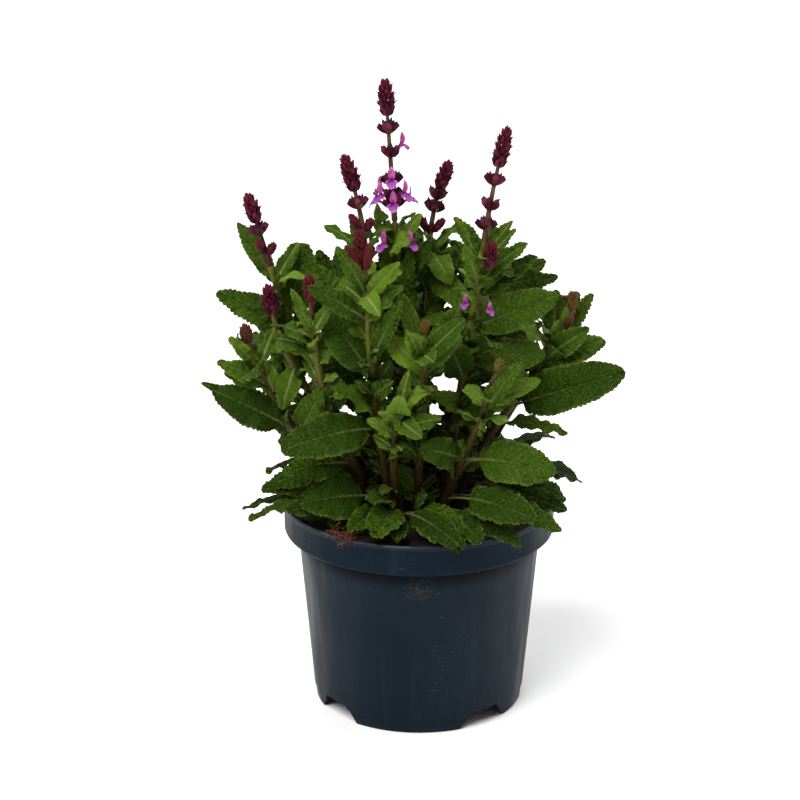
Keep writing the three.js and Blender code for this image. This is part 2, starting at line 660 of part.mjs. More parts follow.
// Turns a leaf about its base: sideways by turn and upwards by lift, in degrees, and shrinks it.
function turnedLeaf(leaf, turn, lift, size) {
  const chord = leaf.tip.clone().sub(leaf.base).multiplyScalar(size);
  const level = Math.hypot(chord.x, chord.y);
  const heading = Math.atan2(chord.y, chord.x) + radians(turn);
  const rise = Math.min(1.45, Math.max(-1.2, Math.atan2(chord.z, level) + radians(lift)));
  const length = chord.length();
  const tip = new THREE.Vector3(
    leaf.base.x + length * Math.cos(rise) * Math.cos(heading),
    leaf.base.y + length * Math.cos(rise) * Math.sin(heading),
    leaf.base.z + length * Math.sin(rise),
  );
  return makeLeaf(leaf.stem, leaf.base, tip, leaf.width * size, leaf.arch * size, leaf.face);
}

// Bends a leaf clear of everything that stands: the smallest turn that is clear is taken, then a
// smaller leaf is tried. It gives null where there is no room.
function bentClear(leaf, turns, lifts, sizes) {
  for (const size of sizes) {
    for (const lift of lifts) {
      for (const turn of turns) {
        const bent = turnedLeaf(leaf, turn, lift, size);
        if (ballsOfLeaf(bent).every(isClear)) return bent;
      }
    }
  }
  return null;
}

const curves = {};
for (const [name, stem] of Object.entries(STEMS)) {
  curves[name] = stemCurve(stem);
  fillAlong(curves[name], 260, (t) => stemRadius(t) + 1.2, name, 1);
}

// How much room a spike takes at part t of its length.
function spikeRoom({ whorls, head, radius }, t) {
  if (whorls.some((place) => Math.abs(place - t) < 0.06)) return CALYX_LENGTH + 0.6;
  return t > 0.97 - head ? radius + 0.8 : STEM_TOP_RADIUS + 0.6;
}

const spikeCurves = {};
for (const [name, spike] of Object.entries(SPIKES)) {
  const curve = spikeCurve(name);
  spikeCurves[name] = curve;
  fillAlong(curve, curve.getPoint(0).distanceTo(curve.getPoint(1)), (t) => spikeRoom(spike, t), name, 0.12);
  for (const bud of spike.buds ?? []) {
    const side = new THREE.LineCurve3(curve.getPoint(0), new THREE.Vector3(...bud));
    fillAlong(side, side.v1.distanceTo(side.v2), (t) => (t < 0.3 ? 1.8 : SIDE_BUD_RADIUS + 1), name, 0.3);
  }
}

function fillFlower(calyxTip, heading) {
  const line = new THREE.LineCurve3(calyxTip, calyxTip.clone().addScaledVector(heading, COROLLA_LENGTH));
  fillAlong(line, COROLLA_LENGTH, (t) => 1.5 + 4 * t, 'flower', 0);
}
whorlFlowers.forEach(([tip, heading]) => fillFlower(tip, heading));
axilFlowers.forEach(([tip, heading]) => fillFlower(tip, heading));

const leaves = [];

function keepLeaf(leaf) {
  if (!leaf) return;
  leaves.push(leaf);
  ballsOfLeaf(leaf).forEach(fillRoom);
}

for (const [stem, height, tip, width, arch, lean] of PLACED_LEAVES) {
  const base = curves[stem].getPoint(stemAtHeight(curves[stem], height));
  const face = new THREE.Vector3(0, -Math.sin(radians(lean)), Math.cos(radians(lean)));
  const leaf = makeLeaf(stem, base, new THREE.Vector3(...tip), width, arch, face);
  keepLeaf(bentClear(leaf, [0, 6, -6, 12, -12, 20, -20, 30, -30], [0, 8, -8, 16, -16, 26], [1, 0.88, 0.75]));
}

for (const [front, back, radius] of CLEARINGS) {
  const line = new THREE.LineCurve3(new THREE.Vector3(...front), new THREE.Vector3(...back));
  fillAlong(line, line.v1.distanceTo(line.v2), () => radius, 'gap', 0);
}

// The growth rule: pairs of leaves, each pair turned a quarter from the last, larger and flatter
// towards the foot, facing up and outwards.
let grown = 0;
for (let level = 0; level < 4; level += 1) {
  for (const [stem, { pairs, side }] of Object.entries(STEMS)) {
    if (level >= pairs) continue;
    const top = curves[stem].getPoint(1).z;
    const part = (level + 0.35) / pairs;
    const height = top - (top - LOWEST_PAIR) * part;
    const base = curves[stem].getPoint(stemAtHeight(curves[stem], height));
    for (let half = 0; half < 2; half += 1) {
      grown += 1;
      const length = 32 + 32 * part + 8 * (draw(grown) - 0.5);
      const width = length * (0.48 + 0.1 * draw(grown + 500));
      const heading = radians(side + 90 * level + 180 * half + 20 * (draw(grown + 900) - 0.5));
      const rise = radians(42 - 40 * part);
      const reach = length * Math.cos(rise);
      const tip = base.clone();
      tip.x += reach * Math.cos(heading);
      tip.y += reach * Math.sin(heading);
      tip.z += length * Math.sin(rise);
      const outward = new THREE.Vector3(tip.x, tip.y, 0).normalize();
      const lean = radians(28 + 24 * draw(grown + 1300));
      const face = outward.multiplyScalar(Math.sin(lean)).setZ(Math.cos(lean));
      const leaf = makeLeaf(stem, base, tip, width, length * ARCH, face);
      keepLeaf(bentClear(leaf, [0, 15, -15, 30, -30, 48, -48], [0, 14, -14, 30], [1, 0.82, 0.66]));
    }
  }
}

// The skirt: long-stalked leaves from the foot of the plant that arch out over the rim, round the
// sides and the back, where none are placed by hand.
for (let count = 0; count < SKIRT_LEAVES; count += 1) {
  const heading = radians(SKIRT_FROM + SKIRT_SPAN * ((count + 0.4 * draw(count + 2000)) / SKIRT_LEAVES));
  const way = new THREE.Vector3(Math.cos(heading), Math.sin(heading), 0);
  const outer = ([, { foot }]) => foot[0] * way.x + foot[1] * way.y;
  const [stem] = Object.entries(STEMS).reduce((best, next) => (outer(next) > outer(best) ? next : best));
  const base = curves[stem].getPoint(stemAtHeight(curves[stem], 147 + 8 * draw(count + 2100)));
  const tip = way.clone().multiplyScalar(SKIRT_REACH + 18 * draw(count + 2200));
  tip.z = SKIRT_LEVEL + 18 * draw(count + 2300);
  const face = way.clone().multiplyScalar(0.6).setZ(0.8);
  const leaf = makeLeaf(stem, base, tip, 26 + 8 * draw(count + 2400), 9, face);
  keepLeaf(bentClear(leaf, [0, 10, -10, 20, -20], [0, 8, 16, -6], [1, 0.85, 0.7]));
}

// The solid of a leaf: four corners to a row, the two margins, the top of the midrib and its
// underside. The margins step in and out, as coarse teeth. A short stalk starts as a point beyond
// the middle of the stem, and a long one as a square inside it.
function leafSolid(leaf) {
  const teeth = leaf.length > 72 ? 6 : leaf.length > 50 ? 5 : leaf.length > 30 ? 4 : 3;
  const short = leaf.stalk * leaf.length < SHORT_STALK;
  const rings = short ? [[leaf.base.clone().lerp(leaf.middle, -STALK_DEPTH / leaf.length)]] : [leafRow(leaf, 0, 1)];
  rings.push(leafRow(leaf, leaf.stalk, 1));
  for (let i = 1; i < teeth; i += 1) {
    rings.push(leafRow(leaf, leaf.stalk + ((1 - leaf.stalk) * i) / teeth, i % 2 ? 1 : TOOTH_BITE));
  }
  rings.push([leaf.tip]);
  return solid(loft(rings));
}

function leafRow(leaf, u, bite) {
  const { point, out } = leafFrame(leaf, u);
  const thick = u <= leaf.stalk ? PETIOLE_RADIUS * 0.8 : BLADE_THICKNESS / 2;
  return [
    leafPoint(leaf, u, -bite),
    point.clone().addScaledVector(out, thick),
    leafPoint(leaf, u, bite),
    point.clone().addScaledVector(out, -thick),
  ];
}

// The calyx of a single flower, a slim bud from the stem outwards.
function axilCalyx([stem, height, tip]) {
  const base = curves[stem].getPoint(stemAtHeight(curves[stem], height));
  const line = new THREE.Vector3(...tip).sub(base);
  const geometry = new THREE.OctahedronGeometry(1, 0);
  geometry.translate(0, 1, 0);
  geometry.scale(CALYX_RADIUS, line.length() / 2, CALYX_RADIUS);
  const turn = new THREE.Quaternion().setFromUnitVectors(new THREE.Vector3(0, 1, 0), line.normalize());
  geometry.applyQuaternion(turn);
  geometry.translate(base.x, base.y, base.z);
  return solid(geometry);
}

function makeStem(name) {
  const pieces = [solid(tube(curves[name], 6, 4, stemRadius))];
  for (const flower of AXIL_FLOWERS) {
    if (flower[0] === name) pieces.push(axilCalyx(flower));
  }
  for (const leaf of leaves) {
    if (leaf.stem === name) pieces.push(leafSolid(leaf));
  }
  return geometryOf(joined(pieces));
}

// ---- flower spikes ----

// A ring of eight corners round a stem. Four of them, every other one, reach out to radius and lean
// up by rise, and the rest stay at waist.
function starRing(curve, t, radius, waist, rise, turn) {
  const along = curve.getTangent(t);
  const [first, second] = sideways(along);
  const ring = [];
  for (let k = 0; k < 8; k += 1) {
    const angle = (k / 8) * 2 * Math.PI;
    const tip = (k + turn) % 2 === 0;
    const reach = tip ? radius : waist;
    const point = curve.getPoint(t).addScaledVector(first, reach * Math.cos(angle));
    ring.push(point.addScaledVector(second, reach * Math.sin(angle)).addScaledVector(along, tip ? rise : 0));
  }
  return ring;
}

// The rings of a dense head: whorls of four buds, each turned an eighth from the last, that stand
// out of a core and shrink to the tip.
function headRings(curve, from, radius) {
  const whorls = Math.max(2, Math.round((curve.getLength() * (1 - from)) / BUD_SPACING));
  const rings = [];
  for (let i = 0; i < whorls; i += 1) {
    const s = i / whorls;
    const step = (1 - from) / whorls;
    const size = radius * (1 - s ** 2.2);
    const t = from + step * i;
    rings.push(starRing(curve, t, size * 0.5, size * 0.5, 0, 0));
    rings.push(starRing(curve, t + 0.4 * step, size, size * 0.6, BUD_SPACING * 0.3, i % 2));
  }
  rings.push([curve.getPoint(1)]);
  return rings;
}

// The rings of one separate whorl: four calyces that stand away from the stem.
function whorlRings(curve, place, number) {
  const length = curve.getLength();
  const reach = CALYX_LENGTH * Math.sin(radians(CALYX_LEAN));
  const rise = CALYX_LENGTH * Math.cos(radians(CALYX_LEAN));
  const waist = STEM_TOP_RADIUS;
  return [
    starRing(curve, place - 1.6 / length, waist, waist, 0, 0),
    starRing(curve, place, reach, waist * 1.3, rise, number % 2),
    starRing(curve, place + 2.6 / length, waist, waist, 0, 0),
  ];
}

function makeSpike(name) {
  const { head, radius, whorls, buds = [] } = SPIKES[name];
  const curve = spikeCurves[name];
  const rings = [starRing(curve, 0, STEM_TOP_RADIUS, STEM_TOP_RADIUS, 0, 0)];
  whorls.forEach((place, number) => rings.push(...whorlRings(curve, place, number)));
  rings.push(...headRings(curve, 1 - head, radius));
  const pieces = [solid(loft(rings))];
  const start = curve.getPoint(0.1);
  for (const bud of buds) {
    const side = new THREE.LineCurve3(start, new THREE.Vector3(...bud));
    pieces.push(solid(loft([[side.getPoint(-0.08)], ...headRings(side, 0.3, SIDE_BUD_RADIUS)])));
  }
  return geometryOf(joined(pieces));
}

// ---- open flowers ----

// A two-lipped flower from the tip of its calyx: a tube that widens to a mouth, a hood above, a
// broad hanging lip with a lobe at each side below, and the throat sunk between them.
function makeFlower(calyxTip, heading) {
  const start = calyxTip.clone().addScaledVector(heading, GAP);
  const up = new THREE.Vector3(0, 0, 1).addScaledVector(heading, -heading.z).normalize();
  const side = heading.clone().cross(up);
  // forward of the mouth, and out from the middle, at each corner from the top round
  const forward = [0.44, 0.1, 0.02, 0.22, 0.3, 0.22, 0.02, 0.1];
  const reach = [0.34, 0.2, 0.2, 0.36, 0.46, 0.36, 0.2, 0.2];
  const corner = (along, out, k) => {
    const angle = (k / 8) * 2 * Math.PI;
    const point = start.clone().addScaledVector(heading, along * COROLLA_LENGTH);
    point.addScaledVector(up, out * COROLLA_LENGTH * Math.cos(angle));
    return point.addScaledVector(side, out * COROLLA_LENGTH * Math.sin(angle));
  };
  const rings = [
    forward.map((_, k) => corner(0, 0.07, k)),
    forward.map((_, k) => corner(0.45, 0.15, k)),
    forward.map((ahead, k) => corner(0.5 + ahead, reach[k], k)),
    [start.clone().addScaledVector(heading, COROLLA_LENGTH * 0.4)],
  ];
  return geometryOf(solid(loft(rings)));
}

// ---- the plant ----

const plant = new THREE.Group();

function addPiece(name, geometry, colour, roughness) {
  const mesh = new THREE.Mesh(geometry, material(colour, roughness));
  mesh.name = name;
  plant.add(mesh);
}

addPiece('pot', makePot(), COLOURS.pot, 0.55);
addPiece('growing_medium', makeSoil(), COLOURS.medium, 0.95);
for (const name of Object.keys(STEMS)) addPiece(`leafy_stem_${name}`, makeStem(name), COLOURS.leaf, 0.7);
for (const name of Object.keys(SPIKES)) addPiece(`spike_${name}`, makeSpike(name), COLOURS.calyx, 0.7);
[...whorlFlowers, ...axilFlowers].forEach(([tip, heading], number) => {
  addPiece(`flower_${number + 1}`, makeFlower(tip, heading), COLOURS.corolla, 0.6);
});

export default plant;
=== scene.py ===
# A perennial sage in its nursery pot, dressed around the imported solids. Metres, +Z up, front towards
# -Y, with the origin in the middle of the pot's underside. Shapes are worked out in millimetres.
import math

import bmesh
import bpy
from mathutils import Matrix, Vector, noise


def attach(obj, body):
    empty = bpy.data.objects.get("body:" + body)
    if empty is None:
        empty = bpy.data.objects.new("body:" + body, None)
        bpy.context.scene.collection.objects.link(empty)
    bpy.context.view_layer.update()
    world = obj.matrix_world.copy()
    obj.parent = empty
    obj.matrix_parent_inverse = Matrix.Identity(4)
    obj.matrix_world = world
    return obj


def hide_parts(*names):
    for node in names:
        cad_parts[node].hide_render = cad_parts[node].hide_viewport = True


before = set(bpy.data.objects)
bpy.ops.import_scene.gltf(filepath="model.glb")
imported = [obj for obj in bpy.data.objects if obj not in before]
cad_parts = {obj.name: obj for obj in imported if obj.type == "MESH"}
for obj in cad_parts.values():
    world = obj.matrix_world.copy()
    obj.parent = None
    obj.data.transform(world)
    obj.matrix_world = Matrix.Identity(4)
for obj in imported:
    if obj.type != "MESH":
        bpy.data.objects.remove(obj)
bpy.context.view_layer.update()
scene = bpy.context.scene
MM = 0.001


# ---- camera, light and floor ----
# A long lens looks down a little on the plant. Two very wide, soft suns, one from the front left
# and one from behind, stand for a white light tent over a plain pale floor.

LENS = 117.2
CAMERA_PLACE = (-0.0133, -1.7, 0.8)
LOOK_DOWN = 18.9
TENT_LIGHT = 0.24
FLOOR_DROP = 0.0005
FLOOR_SIZE = 40

camera = bpy.data.objects.new("camera", bpy.data.cameras.new("camera"))
camera.data.lens = LENS
camera.data.clip_end = 100
camera.location = CAMERA_PLACE
camera.rotation_euler = (math.radians(90 - LOOK_DOWN), 0, 0)
scene.collection.objects.link(camera)
scene.camera = camera
scene.view_settings.view_transform = "Standard"

room_light = bpy.data.worlds.new("white_room")
room_light.use_nodes = True
tent = room_light.node_tree.nodes["Background"]
tent.inputs["Color"].default_value = (1, 1, 1, 1)
tent.inputs["Strength"].default_value = TENT_LIGHT
scene.world = room_light


def soft_sun(name, azimuth, height, width, strength):
    """Light from a wide patch of the tent, by its compass heading from the front and its height."""
    sun = bpy.data.objects.new(name, bpy.data.lights.new(name, "SUN"))
    sun.data.angle = math.radians(width)
    sun.data.energy = strength
    sun.rotation_euler = (math.radians(90 - height), 0, math.radians(azimuth))
    scene.collection.objects.link(sun)


soft_sun("front_sun", -38, 55, 42, 3.45)
soft_sun("back_sun", 140, 52, 80, 2.5)


def new_finish(name, roughness, **sockets):
    """A material, with what is the same all over its surface set on the shader itself."""
    finish = bpy.data.materials.new(name)
    finish.use_nodes = True
    shader = finish.node_tree.nodes["Principled BSDF"]
    shader.inputs["Roughness"].default_value = roughness
    for socket, value in sockets.items():
        shader.inputs[socket.replace("_", " ")].default_value = value
    return finish, finish.node_tree, shader


floor_paint, tree, shader = new_finish("pale_floor", 0.9, Specular_IOR_Level=0.0)
shader.inputs["Base Color"].default_value = (0.93, 0.93, 0.93, 1)
bm = bmesh.new()
bmesh.ops.create_grid(bm, x_segments=1, y_segments=1, size=FLOOR_SIZE)
floor = bpy.data.objects.new("floor", bpy.data.meshes.new("floor"))
bm.to_mesh(floor.data)
bm.free()
floor.data.materials.append(floor_paint)
floor.location = (0, 0, -FLOOR_DROP)
scene.collection.objects.link(floor)


# ---- pot ----
# A 19 cm nursery pot, moulded in dark slate-blue plastic: a thin rolled lip on a wide collar, a
# step under it, a body that tapers down, and a foot with arched openings. The floor inside is
# raised, drained by small holes, and comes down to the ground in the middle.

RIM_RADIUS = 95
POT_HEIGHT = 147
COLLAR_RADIUS = 94.2
COLLAR_BOTTOM = 126
LIP_HEIGHT = 3.6
BODY_TOP_RADIUS = 84.4
BODY_FOOT_RADIUS = 74.1
FOOT_RADIUS = 72.6
FOOT_HEIGHT = 8
WALL = 1.6
FLOOR_HEIGHT = 7.2
PAD_RADIUS = 22
NOTCH_WIDTH = 38
NOTCH_TOP_WIDTH = 23
NOTCH_HEIGHT = 12
NOTCH_DEPTH = 14
NOTCH_ANGLES = (-52, 38, 128, 218)
DRAIN_COUNT = 6
DRAIN_RADIUS = 3.6
DRAIN_CIRCLE = 44
DRAIN_DEPTH = 12
POT_STEPS = 160
POT_CREASE = 40
WELD = 0.01
MUD_PLACE = (0.0, -0.084, 0.1135)

pot_outside = [
    (0, 0), (PAD_RADIUS, 0), (PAD_RADIUS + 0.8, 0.5), (PAD_RADIUS + 3, FLOOR_HEIGHT),
    (FOOT_RADIUS - 3, FLOOR_HEIGHT), (FOOT_RADIUS - 1.9, 0.4), (FOOT_RADIUS - 1.5, 0),
    (FOOT_RADIUS - 0.3, 0), (FOOT_RADIUS, 0.4), (FOOT_RADIUS + 0.5, FOOT_HEIGHT - 1),
    (FOOT_RADIUS + 0.6, FOOT_HEIGHT - 0.2), (BODY_FOOT_RADIUS - 0.1, FOOT_HEIGHT + 0.2),
    (BODY_FOOT_RADIUS + 0.1, FOOT_HEIGHT + 1), (BODY_TOP_RADIUS, COLLAR_BOTTOM - 4.2),
    (BODY_TOP_RADIUS + 0.4, COLLAR_BOTTOM - 3.4), (BODY_TOP_RADIUS + 1.4, COLLAR_BOTTOM - 3),
    (COLLAR_RADIUS - 3, COLLAR_BOTTOM - 1.5), (COLLAR_RADIUS - 1.4, COLLAR_BOTTOM - 0.9),
    (COLLAR_RADIUS - 0.5, COLLAR_BOTTOM - 0.2), (COLLAR_RADIUS - 0.1, COLLAR_BOTTOM + 0.8),
    (COLLAR_RADIUS, COLLAR_BOTTOM + 2), (COLLAR_RADIUS, POT_HEIGHT - LIP_HEIGHT - 0.6),
    (COLLAR_RADIUS + 0.2, POT_HEIGHT - LIP_HEIGHT), (RIM_RADIUS - 0.2, POT_HEIGHT - LIP_HEIGHT + 0.5),
    (RIM_RADIUS, POT_HEIGHT - LIP_HEIGHT + 1.2), (RIM_RADIUS, POT_HEIGHT - 1),
    (RIM_RADIUS - 0.4, POT_HEIGHT - 0.25), (RIM_RADIUS - 1.1, POT_HEIGHT),
]
pot_inside = [
    (COLLAR_RADIUS - WALL + 0.6, POT_HEIGHT - 0.15), (COLLAR_RADIUS - WALL, POT_HEIGHT - 0.8),
    (COLLAR_RADIUS - WALL, COLLAR_BOTTOM + 2.8), (COLLAR_RADIUS - WALL - 0.6, COLLAR_BOTTOM + 1.8),
    (BODY_TOP_RADIUS + 1.2, COLLAR_BOTTOM - 0.4), (BODY_TOP_RADIUS - WALL + 0.3, COLLAR_BOTTOM - 1.2),
    (BODY_TOP_RADIUS - WALL, COLLAR_BOTTOM - 2.4),
    (BODY_FOOT_RADIUS - WALL, FLOOR_HEIGHT + 3), (BODY_FOOT_RADIUS - WALL - 1, FLOOR_HEIGHT + 2),
    (PAD_RADIUS + 4.5, FLOOR_HEIGHT + 2), (PAD_RADIUS + 1.5, 2), (0, 2),
]


def finished_mesh(bm, name, finishes, crease):
    """Turns a bmesh into an object with smooth faces that crease at sharper angles."""
    bmesh.ops.recalc_face_normals(bm, faces=bm.faces)
    mesh = bpy.data.meshes.new(name)
    bm.to_mesh(mesh)
    bm.free()
    mesh.shade_smooth()
    mesh.set_sharp_from_angle(angle=math.radians(crease))
    for finish in finishes:
        mesh.materials.append(finish)
    made = bpy.data.objects.new(name, mesh)
    scene.collection.objects.link(made)
    return made


def stand_in_for(made, slot, *nodes):
    """Rides a finished piece on the part and lets it take the place of its solids."""
    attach(made, "root")
    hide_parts(*nodes)


def notch_cutter(angle):
    """An arched block that cuts one opening through the foot."""
    foot, top = NOTCH_WIDTH / 2, NOTCH_TOP_WIDTH / 2
    bm = bmesh.new()
    side = [(foot + 1, -2), (foot, 0), (top + 1, NOTCH_HEIGHT - 2.4), (top - 0.2, NOTCH_HEIGHT - 0.9)]
    side += [(top - 1.8, NOTCH_HEIGHT - 0.2), (top - 4, NOTCH_HEIGHT)]
    arch = side + [(-x, z) for x, z in reversed(side)]
    face = bm.faces.new([bm.verts.new((x * MM, -(FOOT_RADIUS - 8) * MM, z * MM)) for x, z in arch])
    grown = bmesh.ops.extrude_face_region(bm, geom=[face])
    outer = [v for v in grown["geom"] if isinstance(v, bmesh.types.BMVert)]
    bmesh.ops.translate(bm, verts=outer, vec=(0, -NOTCH_DEPTH * MM, 0))
    turn = Matrix.Rotation(math.radians(angle), 3, "Z")
    bmesh.ops.rotate(bm, verts=bm.verts, cent=(0, 0, 0), matrix=turn)
    return finished_mesh(bm, "notch_cutter", [], crease=30)


def drain_cutter():
    """All the drain holes of the floor as one set of short rods."""
    bm = bmesh.new()
    for count in range(DRAIN_COUNT):
        angle = (count + 0.5) / DRAIN_COUNT * 2 * math.pi
        x, y = DRAIN_CIRCLE * MM * math.cos(angle), DRAIN_CIRCLE * MM * math.sin(angle)
        place = Matrix.Translation((x, y, (FLOOR_HEIGHT + 1) * MM))
        radius = DRAIN_RADIUS * MM
        bmesh.ops.create_cone(
            bm, cap_ends=True, segments=20, radius1=radius, radius2=radius, depth=DRAIN_DEPTH * MM,
            matrix=place,
        )
    return finished_mesh(bm, "drain_cutter", [], crease=30)


def add_node(tree, kind, inputs=None, **settings):
    """Adds a node of a material, sets its options and fills or links its inputs."""
    node = tree.nodes.new("ShaderNode" + kind)
    for option, value in settings.items():
        setattr(node, option, value)
    for socket, value in (inputs or {}).items():
        if isinstance(value, bpy.types.NodeSocket):
            tree.links.new(value, node.inputs[socket])
        else:
            node.inputs[socket].default_value = value
    return node


def colour_ramp(tree, factor, *stops):
    """A ramp of colours, each stop a place from 0 to 1 and a colour."""
    node = add_node(tree, "ValToRGB", {"Fac": factor})
    ramp = node.color_ramp
    while len(ramp.elements) < len(stops):
        ramp.elements.new(0.5)
    for element, (place, colour) in zip(ramp.elements, stops):
        element.position = place
        element.color = (*colour, 1)
    return node.outputs["Color"]


def blend(tree, factor, first, second, blend="MIX"):
    node = add_node(tree, "Mix", data_type="RGBA", blend_type=blend)
    for socket, value in (("Factor_Float", factor), ("A_Color", first), ("B_Color", second)):
        target = next(s for s in node.inputs if s.identifier == socket)
        if isinstance(value, bpy.types.NodeSocket):
            tree.links.new(value, target)
        else:
            target.default_value = value if socket == "Factor_Float" else (*value, 1)
    return next(s for s in node.outputs if s.identifier == "Result_Color")


def maths(tree, operation, *values):
    return add_node(tree, "Math", dict(enumerate(values)), operation=operation).outputs[0]


def graded(tree, value, low, high, first=0.0, last=1.0):
    """Eases a value from first to last as it goes from low to high."""
    sockets = {"Value": value, "From Min": low, "From Max": high, "To Min": first, "To Max": last}
    return add_node(tree, "MapRange", sockets, interpolation_type="SMOOTHSTEP").outputs["Result"]


def times(tree, first, second):
    return maths(tree, "MULTIPLY", first, second)


def object_place(tree):
    return add_node(tree, "TexCoord").outputs["Object"]


def stretched(tree, place, scale, turn=(0, 0, 0)):
    return add_node(tree, "Mapping", {"Vector": place, "Rotation": turn, "Scale": scale}).outputs["Vector"]


def noise_at(tree, place, scale, detail):
    """A soft random pattern from 0 to 1, finer for a larger scale."""
    return add_node(tree, "TexNoise", {"Vector": place, "Scale": scale, "Detail": detail}).outputs["Fac"]


def split(tree, vector):
    return add_node(tree, "SeparateXYZ", {"Vector": vector}).outputs


def relief(tree, height, strength, distance):
    sockets = {"Height": height, "Strength": strength, "Distance": distance}
    return add_node(tree, "Bump", sockets).outputs["Normal"]


def feed(tree, shader, **sockets):
    """Links what varies over a surface to the shader."""
    for socket, value in sockets.items():
        tree.links.new(value, shader.inputs[socket.replace("_", " ")])


plastic, tree, shader = new_finish("slate_blue_plastic", 0.42)
place = object_place(tree)
clouds = noise_at(tree, place, 16.0, 4.0)
drawn = stretched(tree, place, (60, 60, 5))
streaks = noise_at(tree, drawn, 1.5, 6.0)
skewed = stretched(tree, place, (22, 1500, 700), (0.5, 0.9, 0.3))
scratches = noise_at(tree, skewed, 1.0, 3.0)
specks = noise_at(tree, place, 420.0, 1.0)
body = colour_ramp(tree, clouds, (0.35, (0.0015, 0.007, 0.0143)), (0.65, (0.003, 0.0097, 0.0177)))
body = blend(tree, graded(tree, streaks, 0.54, 0.76, 0, 0.2), body, (0.02, 0.034, 0.05))
patches = graded(tree, clouds, 0.5, 0.62)
scuffed = times(tree, graded(tree, scratches, 0.62, 0.74), patches)
body = blend(tree, times(tree, scuffed, 0.25), body, (0.1, 0.125, 0.15))
body = blend(tree, graded(tree, specks, 0.78, 0.84, 0, 0.2), body, (0.12, 0.14, 0.16))
from_mud = add_node(tree, "VectorMath", {0: place, 1: MUD_PLACE}, operation="DISTANCE").outputs["Value"]
mud = times(tree, graded(tree, from_mud, 0.004, 0.014, 0.45, 0), graded(tree, specks, 0.4, 0.62))
body = blend(tree, mud, body, (0.05, 0.042, 0.034))
height = split(tree, place)["Z"]
# Painted shadow: the body just under the collar's step gets a darker colour and less shine, for the shade
# that the collar casts there.
collar_shadow = times(tree, graded(tree, height, 0.108, 0.121), graded(tree, height, 0.1215, 0.1235, 1, 0))
body = blend(tree, times(tree, collar_shadow, 0.7), body, (0.0005, 0.0015, 0.003))
# Painted highlight: a lighter band along the top of the lip, broken up by the streak pattern, for the glint
# of light on it.
lip_highlight = times(tree, graded(tree, height, 0.1452, 0.1466), graded(tree, streaks, 0.42, 0.6, 0.25, 0.75))
body = blend(tree, lip_highlight, body, (0.055, 0.072, 0.09))
shine = maths(tree, "SUBTRACT", 0.088, times(tree, collar_shadow, 0.055))
shine = maths(tree, "SUBTRACT", shine, graded(tree, height, 0.1225, 0.1245, 0, 0.03))
shine = maths(tree, "ADD", shine, graded(tree, height, 0.1436, 0.1446, 0, 0.08))
rough = graded(tree, streaks, 0.3, 0.75, 0.36, 0.56)
grain = relief(tree, specks, 0.25, 0.0002)
feed(tree, shader, Base_Color=body, Roughness=rough, Specular_IOR_Level=shine, Normal=grain)

bm = bmesh.new()
corners = [bm.verts.new((r * MM, 0, z * MM)) for r, z in pot_outside + pot_inside]
section = [bm.edges.new(pair) for pair in zip(corners, corners[1:])]
bmesh.ops.spin(
    bm, geom=corners + section, axis=(0, 0, 1), cent=(0, 0, 0), angle=2 * math.pi,
    steps=POT_STEPS, use_merge=True,
)
bmesh.ops.remove_doubles(bm, verts=bm.verts, dist=WELD * MM)
pot = finished_mesh(bm, "nursery_pot", [plastic], POT_CREASE)
for cutter in [notch_cutter(angle) for angle in NOTCH_ANGLES] + [drain_cutter()]:
    cut = pot.modifiers.new("cut", "BOOLEAN")
    cut.operation = "DIFFERENCE"
    cut.solver = "EXACT"
    cut.object = cutter
    bpy.context.view_layer.update()
    carved = bpy.data.meshes.new_from_object(pot.evaluated_get(bpy.context.evaluated_depsgraph_get()))
    pot.modifiers.remove(cut)
    pot.data = carved
    bpy.data.objects.remove(cutter)
pot.data.shade_smooth()
pot.data.set_sharp_from_angle(angle=math.radians(POT_CREASE))
stand_in_for(pot, "pot_plastic", "pot")


# ---- growing medium ----
# Peat with coir, dark and crumbly, filled to a finger below the lip. Crumbs lie loose on it, fine
# fibres stick out, and a tuft of orange coir hangs over the lip at the front.

SOIL_EDGE = 135
SOIL_CROWN = 139
CRUMBS = 900
FIBRES = 150
TUFT_FIBRES = 760
TUFT = (-53, -78.5, 149)
CRUMB_REACH = 89
FIBRE_REACH = 86
FIBRE_RADIUS = 0.16
TUFT_RADIUS = 0.22
CRUMB_RADIUS = 0.5
CRUMB_SPREAD = 1.7
CRUMB_SHAPE = (1.3, 0.9, 0.7, 1)
CRUMB_GRAIN = 900
CRUMB_ROUGHNESS = 0.3
FIBRE_LENGTH = 5
FIBRE_SPREAD = 9
TUFT_LENGTH = 2.4
TUFT_SPREAD = 5
STRAND_WANDER = 1.3
STRAND_TAPER = 0.6
STRAND_SIDES = 3
STRAND_STEPS = 5
SOIL_LUMPS = 1.5
SOIL_INSET = 2.4
SOIL_COLUMNS = 110
SOIL_ROWS = 60
WALL_ROWS = 12
SEAM = 0.002
TOP_SHARE = 0.8
WALL_SHARE = 0.2


def draw(count):
    """A number from 0 to 1 that depends on the count alone."""
    value = (count * 48271 + 11) % 2147483647
    for _ in range(2):
        value = (value * 48271) % 2147483647
    return value / 2147483647


def radians(degrees):
    return degrees * math.pi / 180


def sleeve(bm, around, along, place, material=0):
    """Rolls a grid into a closed sleeve: place(corner, u, v) sets each corner, u round and v along."""
    corners = bmesh.ops.create_grid(bm, x_segments=around, y_segments=along, size=0.5)["verts"]
    for face in {face for corner in corners for face in corner.link_faces}:
        face.material_index = material
    for corner in corners:
        place(corner, corner.co.x + 0.5, corner.co.y + 0.5)
    bmesh.ops.remove_doubles(bm, verts=corners, dist=SEAM * MM)


